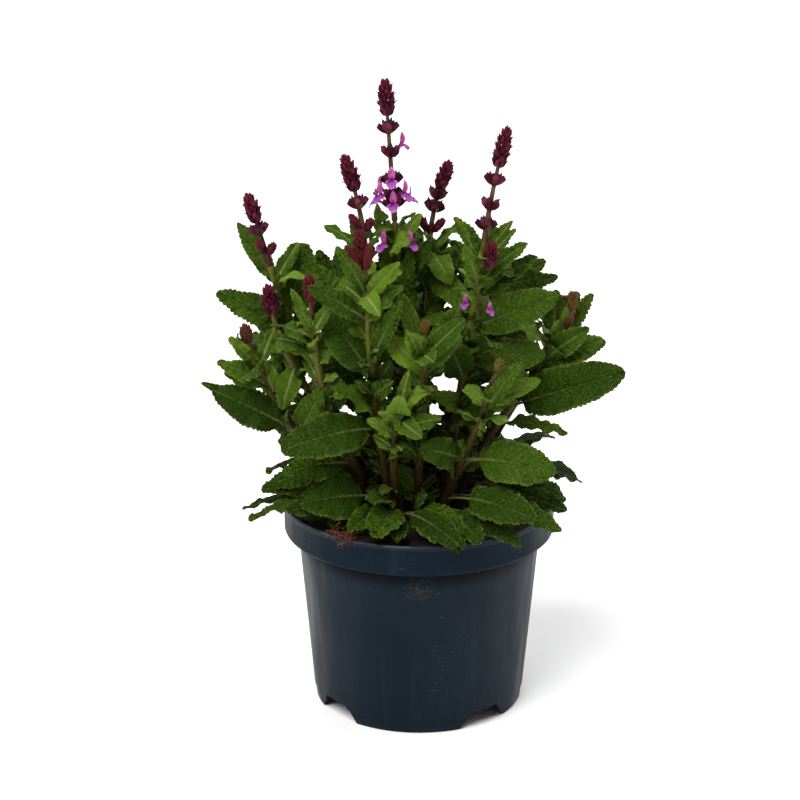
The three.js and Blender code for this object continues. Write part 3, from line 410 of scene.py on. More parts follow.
def soil_level(x, y):
    """Height of the medium at a place, in millimetres, with its lumps."""
    rise = max(0.0, 1 - math.hypot(x, y) / BODY_TOP_RADIUS)
    lumps = noise.fractal(Vector((x * 0.11, y * 0.11, 3.0)), 1.0, 2.1, 4)
    return SOIL_EDGE + (SOIL_CROWN - SOIL_EDGE) * min(1.0, 1.6 * rise) + SOIL_LUMPS * lumps


def place_soil(corner, u, v):
    """The top in the first part of v, then down the wall and in under the bottom."""
    angle = 2 * math.pi * u
    edge = COLLAR_RADIUS - WALL - 0.4
    if v < TOP_SHARE:
        radius = edge * v / TOP_SHARE
        height = soil_level(radius * math.cos(angle), radius * math.sin(angle))
    else:
        steps = [(edge, SOIL_EDGE - 1), (edge, COLLAR_BOTTOM + 3)]
        steps += [(BODY_TOP_RADIUS - SOIL_INSET, COLLAR_BOTTOM - 2)]
        steps += [(radius, FLOOR_HEIGHT + SOIL_INSET) for radius in (BODY_FOOT_RADIUS - SOIL_INSET, 0)]
        radius, height = steps[min(4, round((v - TOP_SHARE) / WALL_SHARE * WALL_ROWS) // 3)]
    corner.co = Vector((radius * math.cos(angle), radius * math.sin(angle), height)) * MM


def spoke(first, second, angle, size=1):
    """A step from an axis, by its angle between two directions square to the axis."""
    return first * (size * math.cos(angle)) + second * (size * math.sin(angle))


def square_to(heading, up=(0, 0, 1)):
    first = heading.cross(Vector(up)).normalized()
    return first, heading.cross(first)


def strand(bm, start, heading, length, thickness, count, material):
    """A thin fibre that wanders from its start and tapers to its end."""
    bend = Vector((draw(count) - 0.5, draw(3 * count + 1) - 0.5, draw(7 * count + 2) - 0.6))
    bend = bend * length * STRAND_WANDER
    first, second = square_to(heading, (0.3, 0.2, 1))

    def place(corner, u, v):
        angle = 2 * math.pi * u
        size = thickness * (0.0 if v > 0.999 or v < 0.001 else 1 - STRAND_TAPER * v)
        side = spoke(first, second, angle, size)
        corner.co = (start + heading * (length * v) + bend * (v * v) + side) * MM

    sleeve(bm, STRAND_SIDES, STRAND_STEPS, place, material)


peat, tree, shader = new_finish("dark_peat", 0.95)
place = object_place(tree)
grains = noise_at(tree, place, 260.0, 6.0)
damp = noise_at(tree, place, 40.0, 3.0)
earth = colour_ramp(
    tree, grains, (0.3, (0.006, 0.004, 0.003)), (0.55, (0.022, 0.013, 0.008)), (0.78, (0.06, 0.036, 0.02))
)
earth = blend(tree, graded(tree, damp, 0.4, 0.7, 0, 0.5), earth, (0.008, 0.005, 0.004))
feed(tree, shader, Base_Color=earth, Normal=relief(tree, grains, 0.9, 0.001))

coir, tree, shader = new_finish("orange_coir", 0.8)
place = object_place(tree)
shades = noise_at(tree, place, 800.0, 1.0)
straw = colour_ramp(tree, shades, (0.42, (0.012, 0.004, 0.0015)), (0.66, (0.27, 0.07, 0.012)))
feed(tree, shader, Base_Color=straw)

bm = bmesh.new()
sleeve(bm, SOIL_COLUMNS, SOIL_ROWS, place_soil)
for count in range(CRUMBS):
    reach = CRUMB_REACH * math.sqrt(draw(3 * count + 7000))
    angle = 2 * math.pi * draw(5 * count + 8000)
    x, y = reach * math.cos(angle), reach * math.sin(angle)
    size = CRUMB_RADIUS + CRUMB_SPREAD * draw(count + 9000) ** 2
    place = Matrix.Translation(Vector((x, y, soil_level(x, y) + 0.2 * size)) * MM)
    place = place @ Matrix.Rotation(6 * draw(count + 9900), 4, "Z") @ Matrix.Diagonal(CRUMB_SHAPE)
    lump = bmesh.ops.create_icosphere(bm, subdivisions=1, radius=size * MM, matrix=place)
    for corner in lump["verts"]:
        corner.co += noise.noise_vector(corner.co * CRUMB_GRAIN) * (CRUMB_ROUGHNESS * size * MM)
for count in range(FIBRES):
    reach = FIBRE_REACH * math.sqrt(draw(3 * count + 11000))
    angle = 2 * math.pi * draw(5 * count + 12000)
    x, y = reach * math.cos(angle), reach * math.sin(angle)
    heading = Vector((draw(count + 13000) - 0.5, draw(count + 14000) - 0.5, 0.12)).normalized()
    start = Vector((x, y, soil_level(x, y) + 0.4))
    length = FIBRE_LENGTH + FIBRE_SPREAD * draw(count + 15000)
    strand(bm, start, heading, length, FIBRE_RADIUS, 3 * count, 1)
for count in range(TUFT_FIBRES):
    along = draw(3 * count + 21000) + draw(5 * count + 21500) - 1
    inwards = draw(7 * count + 22000)
    offset = Vector((along * 12 + inwards * 3, inwards * 5 - along * 8.5, 2.2 * draw(11 * count) - 1.2))
    way = Vector((2 * draw(13 * count) - 1.2, 2 * draw(17 * count) - 1.5, 2.2 * draw(19 * count) - 1.4))
    length = TUFT_LENGTH + TUFT_SPREAD * draw(23 * count) ** 2
    strand(bm, Vector(TUFT) + offset, way.normalized(), length, TUFT_RADIUS, 5000 + 29 * count, 1)
medium = finished_mesh(bm, "peat_and_coir", [peat, coir], crease=50)
stand_in_for(medium, "growing_medium", "growing_medium")


# ---- leafy stems ----
# Square herbaceous stems that rise from one crown in the middle of the pot, with stalked, wrinkled,
# round-toothed leaves in pairs. Each stem and all its leaves are one living piece.

STEM_FOOT = 117.3
STEM_FOOT_RADIUS = 3.1
STEM_TOP_RADIUS = 1.7
PETIOLE_RADIUS = 1.1
BLADE_FOLD = 0.3
MARGIN_DROP = 0.22
MARGIN_WAVE = 0.13
WAVES = 2.3
STALKLESS_LENGTH = 26
STALKLESS_HEIGHT = 245
STALK_GROWTH = 240
LOWEST_PAIR = 158
ARCH = 0.14
CALYX_LENGTH = 8
COROLLA_LENGTH = 12
SKIRT_LEAVES = 9
SKIRT_FROM = -8
SKIRT_SPAN = 202
SKIRT_REACH = 98
SKIRT_LEVEL = 153
CALYCES_PER_WHORL = 4
CALYX_LEAN = 62
SIDE_BUD_RADIUS = 3
CELL = 10
LEAF_ROOM = 2.3
FILLING_ROOM = 0.3
YOUNG_ROOM = 1.2
GAP = 0.3
BALL_STEP = 4.4
ROW_STEP = 2.2
OWN_FOOT = 14
OWN_SHARE = 0.85
SKIRT_FOOT = 147
SHOOTS_FROM = 152
SHOOTS_SPARSE_BELOW = 215
OTHER_MARGIN = 0.35
FILL_STEP = 3
WHORL_HALF = 0.06
BALL_RADIUS = 1.2
STEM_ROOM = 1.2
LONGEST_STEM = 260
INSIDE_LIP = 90
POT_MARGIN = 4
BLADE_PEAK = 0.78
BLADE_FULLNESS = 0.72
LONGEST_STALK = 0.36
SHORTEST_STALK = 0.08
SMALL_STALK = 0.1
STEEPEST = 1.45
STEEPEST_DOWN = -1.2
TOP_PAIR = 0.35
TOP_LEAF_LENGTH = 32
LOW_LEAF_GROWTH = 32
TOP_LEAF_RISE = 42
LOW_LEAF_FALL = 40
LENGTH_SPREAD = 8
HEADING_SPREAD = 20
LEAF_BREADTH = 0.48
BREADTH_SPREAD = 0.1
FACE_LEAN = 28
LEAN_SPREAD = 24
SKIRT_WIDTH = 26
SKIRT_ARCH = 9
SHOOT_STEP = 9
SHOOT_LENGTH = 15
BACK_SHOOT_GROWTH = 1.45
SHOOT_RISE = 18
SHOOT_BREADTH = 0.4
SHOOT_ARCH = 0.12
STEM_ROUNDNESS = 0.6
STEM_SIDES = 16
STEM_STEP = 4

# Each stem: its foot on the medium, two points that bend it, its top, the heading of its first pair
# of leaves in degrees and its number of pairs.
STEMS = {
    "A": ((-6, 8), (-8, 8, 200), (-13, 6, 280), (-17, 5, 346), 60, 3),
    "B": ((-14, -3), (-22, -5, 190), (-32, -9, 270), (-37, -10, 333), 20, 3),
    "C": ((14, -12), (20, -14, 190), (34, -20, 262), (43, -17, 336), 75, 3),
    "D": ((3, 18), (4, 21, 190), (6, 28, 270), (7, 30, 322), 100, 3),
    "E": ((-25, 3), (-40, 1, 190), (-84, 0, 250), (-102, 0, 316), 80, 3),
    "F": ((-29, -9), (-38, -11, 180), (-80, -18, 225), (-97, -20, 277), 30, 2),
    "G": ((-24, -20), (-32, -22, 170), (-70, -38, 215), (-72, -45, 291), 10, 2),
    "H": ((-14, -24), (-19, -28, 160), (-31, -50, 200), (-36, -50, 318), 120, 2),
    "J": ((-34, -20), (-44, -22, 160), (-88, -24, 190), (-114, -25, 262), 60, 2),
    "K": ((-2, -20), (-2, -30, 170), (2, -53, 220), (3, -55, 278), 30, 2),
    "L": ((22, -2), (28, 0, 180), (72, 4, 220), (98, 6, 262), 15, 3),
    "M": ((9, -26), (14, -28, 160), (32, -48, 190), (48, -54, 246), 60, 2),
    "N": ((-4, -31), (-18, -33, 155), (-22, -48, 190), (-12, -63, 240), 80, 1),
    "Q": ((-22, 20), (-30, 28, 175), (-52, 54, 215), (-60, 64, 258), 25, 3),
    "R": ((12, 8), (20, 14, 180), (38, 34, 240), (48, 42, 290), 10, 3),
    "S": ((26, 14), (36, 22, 170), (78, 44, 210), (98, 56, 250), 40, 3),
    "T": ((-8, 28), (-10, 40, 180), (-14, 74, 220), (-16, 87, 264), 70, 3),
    "U": ((-34, 14), (-46, 20, 165), (-88, 38, 200), (-106, 46, 244), 0, 3),
    "V": ((14, 28), (20, 40, 170), (44, 70, 200), (54, 84, 244), 70, 3),
}

# Leaves: the stem, the height on it, the tip, the width, the arch, and how far the face leans to
# the front, in degrees.
PLACED_LEAVES = [
    ("C", 318, (25, -23, 354), 8, 2, 50), ("C", 318, (64, -20, 346), 9, 2, 50),
    ("A", 338, (-33, -2, 331), 7, 6, 40), ("A", 338, (3, 0, 329), 8, 7, 40),
    ("H", 307, (-57, -57, 345), 11, 4, 55), ("H", 305, (-14, -63, 335), 12, 5, 60),
    ("B", 319, (-65, 6, 342), 9, 5, 20), ("E", 302, (-123, 1, 344), 15, 3, 55),
    ("E", 302, (-86, 4, 332), 12, 3, 55), ("C", 306, (29, -34, 337), 12, 4, 60),
    ("C", 306, (63, -32, 335), 12, 4, 55), ("D", 310, (32, 24, 335), 9, 5, 20),
    ("G", 279, (-91, -50, 316), 9, 1, 60), ("G", 279, (-56, -52, 308), 9, 3, 60),
    ("J", 249, (-132, -28, 276), 10, 1, 60), ("J", 249, (-98, -27, 279), 9, 2, 60),
    ("L", 251, (118, 10, 293), 14, 2, 60), ("L", 249, (117, -3, 272), 18, 4, 65),
    ("K", 258, (-9, -62, 288), 12, 2, 60), ("K", 267, (29, -67, 297), 16, 3, 65),
    ("N", 232, (-8, -72, 262), 9, 2, 60), ("M", 227, (70, -58, 267), 12, 2, 60),
    ("L", 212, (140, -22, 245), 33, 6, 62), ("M", 190, (91, -76, 194), 32, 8, 55),
    ("H", 212, (-93, -70, 206), 32, 10, 52), ("C", 275, (95, -18, 300), 27, 5, 66),
    ("J", 205, (-140, -36, 238), 27, 4, 62), ("E", 276, (-83, 8, 328), 30, 4, 66),
    ("L", 240, (126, 0, 263), 22, 4, 60), ("M", 158, (76, -96, 168), 28, 9, 50),
    ("N", 150, (-30, -99, 160), 25, 7, 50), ("H", 158, (-81, -62, 166), 34, 8, 50),
    ("E", 266, (-138, -8, 297), 22, 5, 58), ("H", 290, (-74, -60, 318), 16, 5, 60),
    ("H", 305, (-22, -68, 300), 15, 9, 62), ("H", 252, (-66, -34, 296), 28, 4, 66),
    ("M", 190, (0, -72, 209), 22, 5, 64), ("C", 216, (6, -62, 242), 15, 6, 60),
    ("G", 185, (-101, -52, 170), 19, 5, 50), ("J", 200, (-66, -44, 240), 20, 4, 64),
    ("J", 238, (-133, -29, 249), 14, 3, 58), ("C", 254, (87, -14, 256), 25, 5, 62),
    ("R", 280, (85, 14, 303), 22, 5, 52), ("R", 272, (80, 30, 314), 18, 4, 42),
    ("C", 240, (20, -32, 268), 24, 4, 64), ("D", 316, (22, 2, 300), 18, 6, 50),
    ("D", 300, (28, -16, 284), 19, 6, 60), ("D", 286, (-4, -4, 318), 22, 4, 64),
    ("R", 258, (68, 16, 292), 26, 5, 56), ("A", 296, (8, -6, 335), 13, 3, 62),
    ("A", 288, (-6, -16, 329), 13, 3, 68), ("K", 262, (22, -76, 273), 18, 5, 52),
    ("H", 262, (-12, -63, 309), 13, 4, 66), ("N", 211, (-34, -76, 230), 12, 3, 58),
    ("N", 216, (14, -78, 232), 13, 3, 58), ("N", 228, (-13, -84, 247), 17, 2, 66),
    ("N", 224, (-2, -86, 221), 15, 4, 68), ("M", 232, (77, -68, 251), 13, 3, 50),
    ("H", 274, (-22, -64, 297), 10, 2, 60), ("H", 236, (-18, -66, 254), 14, 4, 64),
    ("F", 270, (-74, -34, 263), 15, 4, 60), ("F", 248, (-92, -36, 221), 17, 6, 64),
    ("L", 200, (100, -44, 208), 13, 5, 25), ("L", 162, (102, -28, 158), 23, 5, 36),
    ("C", 152, (96, -72, 150), 18, 14, 40), ("M", 150, (73, -88, 151), 18, 7, 40),
    ("K", 150, (4, -58, 171), 16, 3, 55), ("N", 147, (26, -108, 153), 22, 9, 45),
    ("H", 148, (-53, -88, 160), 19, 5, 42), ("J", 162, (-122, -36, 152), 9, 3, 8),
]

# Gaps between the leaves that stay open: their front and back ends and their radius.
CLEARINGS = [
    ((-52, -90, 244), (-57, 110, 175), 2), ((-47, -90, 239), (-51, 110, 169), 2),
    ((10, -90, 240), (13, 110, 171), 3), ((21, -90, 260), (26, 110, 193), 3),
    ((73, -90, 243), (84, 110, 174), 4), ((64, -90, 243), (73, 110, 173), 2.5),
    ((83, -90, 240), (95, 110, 171), 2.5), ((56, -90, 227), (64, 110, 156), 3),
    ((85, -90, 215), (97, 110, 143), 4), ((-103, -90, 224), (-114, 110, 153), 5),
    ((98, -90, 191), (111, 110, 115), 4), ((-106, -90, 335), (-117, 110, 277), 3.5),
    ((-92, -90, 338), (-102, 110, 281), 2), ((102, -90, 295), (116, 110, 232), 2.5),
    ((108, -90, 313), (123, 110, 252), 3), ((54, -90, 316), (63, 110, 255), 1.5),
    ((63, -90, 323), (72, 110, 264), 1.5), ((70, -90, 330), (81, 110, 272), 1.5),
]

# Smaller leaves that fill the crown and hang over the lip, given in the same way.
FILLING_LEAVES = [
    ("B", 266, (-56, 20, 320), 25, 4, 66), ("Q", 250, (-67, 44, 306), 24, 4, 60),
    ("B", 300, (-46, -4, 351), 11, 3, 50), ("A", 300, (-25, 12, 325), 17, 3, 66),
    ("A", 324, (1, 0, 351), 11, 3, 50), ("A", 324, (-32, 6, 345), 10, 3, 50),
    ("R", 284, (23, 34, 323), 20, 4, 62), ("D", 292, (32, 40, 315), 18, 4, 62),
    ("D", 300, (14, 34, 329), 12, 3, 60), ("C", 326, (26, -14, 355), 12, 2, 55),
    ("C", 322, (63, -14, 349), 10, 3, 50), ("C", 308, (73, -10, 335), 14, 4, 50),
    ("C", 296, (80, -4, 323), 15, 4, 50), ("R", 282, (87, 30, 305), 15, 4, 50),
    ("R", 276, (96, 30, 298), 15, 4, 55), ("L", 256, (111, 14, 298), 12, 3, 55),
    ("S", 244, (96, 50, 283), 18, 4, 55), ("L", 242, (128, 8, 262), 18, 4, 55),
    ("K", 264, (-6, -50, 311), 13, 3, 66), ("K", 264, (22, -50, 306), 14, 3, 62),
    ("A", 264, (-1, -6, 297), 19, 3, 68), ("H", 240, (-19, -50, 263), 13, 3, 66),
    ("J", 228, (-103, -22, 254), 15, 3, 62), ("G", 224, (-54, -40, 249), 18, 3, 64),
    ("J", 236, (-132, -44, 258), 16, 4, 50), ("J", 216, (-147, -36, 241), 9, 2, 60),
    ("E", 272, (-122, -4, 299), 16, 3, 60), ("J", 160, (-124, -40, 154), 12, 3, 20),
    ("G", 170, (-105, -50, 173), 18, 4, 45), ("G", 182, (-96, -46, 194), 22, 4, 50),
    ("L", 160, (98, -50, 139), 19, 5, 45), ("L", 176, (92, -10, 179), 22, 5, 50),
    ("N", 148, (-10, -95, 152), 14, 3, 45), ("N", 149, (1, -90, 152), 15, 5, 45),
    ("N", 148, (8, -88, 157), 20, 5, 50), ("K", 147, (12, -98, 153), 22, 6, 45),
    ("M", 147, (25, -102, 151), 22, 6, 42), ("M", 149, (40, -98, 153), 20, 5, 45),
    ("H", 148, (-45, -86, 162), 19, 5, 42), ("G", 148, (-69, -80, 161), 22, 5, 42),
    ("N", 147, (-16, -100, 154), 20, 5, 40), ("T", 254, (4, 66, 279), 24, 4, 66),
    ("R", 250, (14, 20, 280), 22, 4, 66), ("T", 240, (-25, 40, 240), 24, 4, 66),
    ("Q", 244, (-67, 44, 316), 26, 4, 64), ("B", 250, (-72, 16, 312), 22, 4, 66),
    ("E", 236, (-84, 8, 281), 20, 4, 60), ("Q", 215, (-72, 46, 248), 24, 4, 60),
    ("B", 200, (-78, 10, 231), 24, 4, 60), ("B", 205, (-58, 6, 235), 20, 4, 60),
    ("F", 190, (-82, -6, 226), 20, 4, 55), ("A", 300, (-32, 8, 334), 12, 3, 60),
    ("A", 270, (-30, 8, 315), 18, 3, 66), ("T", 200, (11, 60, 209), 26, 4, 62),
    ("D", 260, (20, 14, 283), 16, 3, 64), ("S", 222, (65, 48, 251), 24, 4, 62),
    ("R", 240, (86, 36, 263), 22, 4, 60), ("S", 236, (112, 60, 279), 16, 4, 60),
    ("H", 148, (-62, -60, 150), 20, 4, 45), ("G", 148, (-75, -44, 150), 22, 4, 45),
    ("H", 147, (-47, -73, 150), 20, 4, 45), ("N", 147, (-34, -84, 153), 18, 5, 45),
    ("T", 148, (-12, 100, 156), 24, 6, -35), ("V", 148, (22, 98, 155), 24, 6, -35),
    ("Q", 148, (-46, 88, 156), 24, 6, -30), ("S", 148, (62, 74, 155), 24, 6, -25),
    ("U", 148, (-76, 62, 156), 24, 6, -20), ("S", 150, (88, 42, 156), 22, 6, -10),
    ("U", 150, (-92, 36, 156), 22, 6, -10), ("V", 150, (42, 88, 158), 20, 6, -30),
    ("T", 150, (-30, 92, 160), 20, 6, -30), ("L", 148, (98, 14, 156), 22, 6, 0),
    ("E", 148, (-98, 10, 156), 22, 6, 0), ("R", 150, (60, 50, 152), 20, 5, -20),
    ("Q", 150, (-50, 56, 152), 20, 5, -20), ("T", 150, (0, 72, 152), 20, 5, -25),
]

# Flower spikes: the tip, the part of the length that the dense head fills, the head's radius, the
# places of separate whorls, and the tips of side buds.
SPIKES = {
    "A": ((-23.5, 5, 441), 0.27, 5.2, (0.085, 0.15, 0.27, 0.475, 0.645), ()),
    "B": ((-51, -10, 393), 0.44, 5, (0.42,), ((-47, -13, 353), (-32, -13, 350))),
    "C": ((58, -15, 413), 0.37, 5, (0.11, 0.3, 0.52), ()),
    "D": ((21, 30, 379), 0.36, 4.6, (0.4, 0.56), ((0, 27, 341), (17, 27, 339))),
    "E": ((-116, 0, 364), 0.44, 4.6, (0.44,), ((-109, -7, 333), (-98, -7, 331))),
    "F": ((-102, -20, 306), 0.76, 4.8, (), ()),
    "G": ((-74, -45, 320), 0.66, 3.8, (), ()),
    "H": ((-41, -50, 352), 0.66, 4.4, (), ((-49, -55, 343), (-33, -58, 344))),
    "J": ((-118, -25, 280), 0.76, 3.6, (), ()),
    "K": ((3, -56, 292), 0.7, 2.8, (), ()),
    "L": ((105, 10, 293), 0.4, 3.4, (), ((104, 1, 278),)),
    "M": ((54, -55, 265), 0.5, 2.8, (), ()),
    "Q": ((-64, 68, 288), 0.62, 4.2, (0.25,), ()),
    "R": ((52, 46, 315), 0.75, 4, (), ()),
    "S": ((103, 60, 275), 0.72, 4, (), ()),
    "T": ((-17, 91, 292), 0.7, 4.2, (), ()),
    "U": ((-111, 49, 270), 0.72, 4, (), ()),
    "V": ((57, 88, 272), 0.72, 4, (), ()),
}

# Open flowers: the spike, the whorl from below and the calyx in it; then those in leaf axils, by
# stem, height and the tip of the calyx.
WHORL_FLOWERS = [
    ("A", 0, 0), ("A", 0, 1), ("A", 0, 2), ("A", 0, 3), ("A", 1, 1), ("A", 1, 2), ("A", 1, 3), ("A", 2, 3),
    ("A", 3, 0),
]
AXIL_FLOWERS = [
    ("A", 321, (-22, -4, 329)), ("A", 321, (-9, -3, 329)),
    ("C", 288, (32, -28, 295)), ("C", 284, (44, -29, 291)),
]


def curve_point(curve, t):
    """A point of a curve that is given by its two, three or four corners."""
    while len(curve) > 1:
        curve = [a + (b - a) * t for a, b in zip(curve, curve[1:])]
    return curve[0]


def curve_heading(curve, t):
    while len(curve) > 2:
        curve = [a + (b - a) * t for a, b in zip(curve, curve[1:])]
    return (curve[1] - curve[0]).normalized()


def place_at_height(curve, height):
    """The part of a stem's length at which it reaches a height, by halving."""
    low, high = 0.0, 1.0
    for _ in range(30):
        middle = (low + high) / 2
        if curve_point(curve, middle).z < height:
            low = middle
        else:
            high = middle
    return low


def stem_radius(t):
    return STEM_FOOT_RADIUS + (STEM_TOP_RADIUS - STEM_FOOT_RADIUS) * t


def margin_wave(u, v):
    """The margin's rise and fall along the leaf, out of step on its two sides."""
    return MARGIN_WAVE * math.sin(2 * math.pi * (WAVES * u + (OTHER_MARGIN if v < 0 else 0)))


stem_curves = {}
for name, (foot, b, c, top, _, _) in STEMS.items():
    stem_curves[name] = [Vector((*foot, STEM_FOOT)), Vector(b), Vector(c), Vector(top)]


def on_stem(stem, height):
    return curve_point(stem_curves[stem], place_at_height(stem_curves[stem], height))


spike_curves = {}
for name, (tip, *_) in SPIKES.items():
    along = curve_heading(stem_curves[name], 1)
    start = stem_curves[name][3] + along * GAP
    spike_curves[name] = [start, start + along * (0.45 * (start - Vector(tip)).length), Vector(tip)]


def sideways(along):
    """A pair of directions square to a direction."""
    first = Vector((0, 1, 0)).cross(along).normalized()
    return first, along.cross(first)


def leaned(out, along, lean):
    return out * math.sin(lean) + along * math.cos(lean)


def calyx_frame(curve, place, number, count):
    """The foot of a calyx in a whorl, and the direction that it points in."""
    along = curve_heading(curve, place)
    first, second = sideways(along)
    angle = (count + 0.5 * (number % 2)) / CALYCES_PER_WHORL * 2 * math.pi
    return curve_point(curve, place), leaned(spoke(first, second, angle), along, radians(CALYX_LEAN))


flowers = []
for name, number, count in WHORL_FLOWERS:
    centre, heading = calyx_frame(spike_curves[name], SPIKES[name][3][number], number, count)
    flowers.append((centre + heading * CALYX_LENGTH, heading))
for name, height, tip in AXIL_FLOWERS:
    flowers.append((Vector(tip), (Vector(tip) - on_stem(name, height)).normalized()))


class Leaf:
    """A leaf from its base, tip, width, arch and the direction that its face looks in."""

    def __init__(self, stem, base, tip, width, arch, face):
        chord = tip - base
        self.stem, self.base, self.tip, self.width, self.arch, self.face = stem, base, tip, width, arch, face
        self.length = chord.length
        up = (face - chord * (face.dot(chord) / chord.length_squared)).normalized()
        self.middle = (base + tip) * 0.5 + up * (2 * arch)
        lower = min(LONGEST_STALK, max(SHORTEST_STALK, (STALKLESS_HEIGHT - base.z) / STALK_GROWTH))
        self.stalk = SMALL_STALK if self.length < STALKLESS_LENGTH else lower

    def blade_half(self, u, fullness=BLADE_FULLNESS):
        """Half the width of the blade alone at part u of the leaf."""
        s = max(0.0, (u - self.stalk) / (1 - self.stalk))
        return self.width / 2 * max(0.0, math.sin(math.pi * s ** BLADE_PEAK)) ** fullness

    def half_width(self, u):
        return max(PETIOLE_RADIUS, self.blade_half(u))

    def lie(self, u):
        """The midrib's place at part u, with the directions across the blade and out of its face."""
        along = ((self.middle - self.base) * (1 - u) + (self.tip - self.middle) * u).normalized()
        across = along.cross(self.face).normalized()
        return curve_point([self.base, self.middle, self.tip], u), across, across.cross(along)

    def point(self, u, v):
        point, across, out = self.lie(u)
        half = self.half_width(u)
        blade = half if half > PETIOLE_RADIUS else 0
        rise = BLADE_FOLD * abs(v) + (margin_wave(u, v) - MARGIN_DROP) * v * v
        return point + across * (v * half) + out * (blade * rise)

    def turned(self, turn, lift, size):
        """The same leaf turned about its base and shrunk."""
        chord = (self.tip - self.base) * size
        heading = math.atan2(chord.y, chord.x) + radians(turn)
        rise = math.atan2(chord.z, math.hypot(chord.x, chord.y)) + radians(lift)
        rise = min(STEEPEST, max(STEEPEST_DOWN, rise))
        way = Vector((math.cos(rise) * math.cos(heading), math.cos(rise) * math.sin(heading), math.sin(rise)))
        tip = self.base + way * chord.length
        return Leaf(self.stem, self.base, tip, self.width * size, self.arch * size, self.face)


# Balls that fill what already stands, kept by cells of space, so that no leaf grows through another.
room = {}


def fill_room(place, radius, stem, near):
    key = tuple(math.floor(value / CELL) for value in place)
    room.setdefault(key, []).append((place, radius, stem, near))


def balls_of(leaf, most):
    steps = math.ceil(leaf.length / BALL_STEP)
    for i in range(1, steps + 1):
        half = leaf.half_width(i / steps)
        rows = math.ceil(half / ROW_STEP) if half > 2 else 0
        for k in range(rows + 1):
            place = leaf.point(i / steps, -1 + 2 * k / rows if rows else 0)
            yield place, min(most, BALL_RADIUS + half / 2), leaf.stem, i / steps * leaf.length < OWN_FOOT


def is_clear(place, radius, stem, near):
    reach = math.hypot(place.x, place.y)
    ground = SOIL_CROWN if reach < INSIDE_LIP else POT_HEIGHT
    if reach < RIM_RADIUS + POT_MARGIN and place.z < ground + POT_MARGIN:
        return False
    i, j, k = (math.floor(value / CELL) for value in place)
    for key in ((i + a, j + b, k + c) for a in (-1, 0, 1) for b in (-1, 0, 1) for c in (-1, 0, 1)):
        for other, other_radius, other_stem, other_near in room.get(key, ()):
            if other_stem == stem and (other_near or near):
                continue
            share = OWN_SHARE if other_stem == stem else 1
            if (other - place).length < share * (other_radius + radius):
                return False
    return True


def fill_along(curve, length, radius, stem, near):
    steps = math.ceil(length / FILL_STEP)
    for i in range(steps + 1):
        fill_room(curve_point(curve, i / steps), radius(i / steps), stem, i / steps <= near)


for name, curve in stem_curves.items():
    fill_along(curve, LONGEST_STEM, lambda t: stem_radius(t) + STEM_ROOM, name, 1)
for name, (_, head, radius, whorls, buds) in SPIKES.items():

    def spike_room(t):
        if any(abs(place - t) < WHORL_HALF for place in whorls):
            return CALYX_LENGTH + 0.6
        return radius + 0.8 if t > 0.97 - head else STEM_TOP_RADIUS + 0.6

    start, _, tip = spike_curves[name]
    fill_along(spike_curves[name], (start - tip).length, spike_room, name, 0.12)
    for bud in buds:
        side = [start, Vector(bud)]
        length = (side[1] - start).length
        fill_along(side, length, lambda t: 1.8 if t < 0.3 else SIDE_BUD_RADIUS + 1, name, 0.3)
for tip, heading in flowers:
    fill_along([tip, tip + heading * COROLLA_LENGTH], COROLLA_LENGTH, lambda t: 1.5 + 4 * t, "flower", 0)

leaves = []


def settle(leaf, turns, lifts, sizes, most=LEAF_ROOM):
    """Keeps the leaf with the least turn that clears everything, if there is room for one."""
    for size in sizes:
        for lift in lifts:
            for turn in turns:
                bent = leaf.turned(turn, lift, size)
                if all(is_clear(*ball) for ball in balls_of(bent, most)):
                    leaves.append(bent)
                    for ball in list(balls_of(bent, most)):
                        fill_room(*ball)
                    return


def both_ways(*angles):
    return [0] + [sign * angle for angle in angles for sign in (1, -1)]


def grow_listed(rows, turns, lifts, sizes, most=LEAF_ROOM):
    for stem, height, tip, width, arch, lean in rows:
        face = Vector((0, -math.sin(radians(lean)), math.cos(radians(lean))))
        leaf = Leaf(stem, on_stem(stem, height), Vector(tip), width, arch, face)
        settle(leaf, turns, lifts, sizes, most)


def tip_from(base, length, heading, rise):
    reach = length * math.cos(rise)
    return base + Vector((reach * math.cos(heading), reach * math.sin(heading), length * math.sin(rise)))


grow_listed(PLACED_LEAVES, both_ways(6, 12, 20, 30), both_ways(8, 16) + [26], [1, 0.88, 0.75])

for front, back, radius in CLEARINGS:
    line = [Vector(front), Vector(back)]
    fill_along(line, (line[1] - line[0]).length, lambda t: radius, "gap", 0)

# Pairs of leaves up each stem, each pair turned a quarter from the last, larger and flatter below.
grown = 0
for level in range(4):
    for stem, (*_, side, pairs) in STEMS.items():
        if level >= pairs:
            continue
        curve = stem_curves[stem]
        part = (level + TOP_PAIR) / pairs
        height = curve[3].z - (curve[3].z - LOWEST_PAIR) * part
        base = on_stem(stem, height)
        for half in range(2):
            grown += 1
            length = TOP_LEAF_LENGTH + LOW_LEAF_GROWTH * part + LENGTH_SPREAD * (draw(grown) - 0.5)
            width = length * (LEAF_BREADTH + BREADTH_SPREAD * draw(grown + 500))
            heading = side + 90 * level + 180 * half + HEADING_SPREAD * (draw(grown + 900) - 0.5)
            rise = radians(TOP_LEAF_RISE - LOW_LEAF_FALL * part)
            tip = tip_from(base, length, radians(heading), rise)
            lean = radians(FACE_LEAN + LEAN_SPREAD * draw(grown + 1300))
            face = Vector((tip.x, tip.y, 0)).normalized() * math.sin(lean)
            face.z = math.cos(lean)
            leaf = Leaf(stem, base, tip, width, length * ARCH, face)
            settle(leaf, both_ways(15, 30, 48), both_ways(14) + [30], [1, 0.82, 0.66])

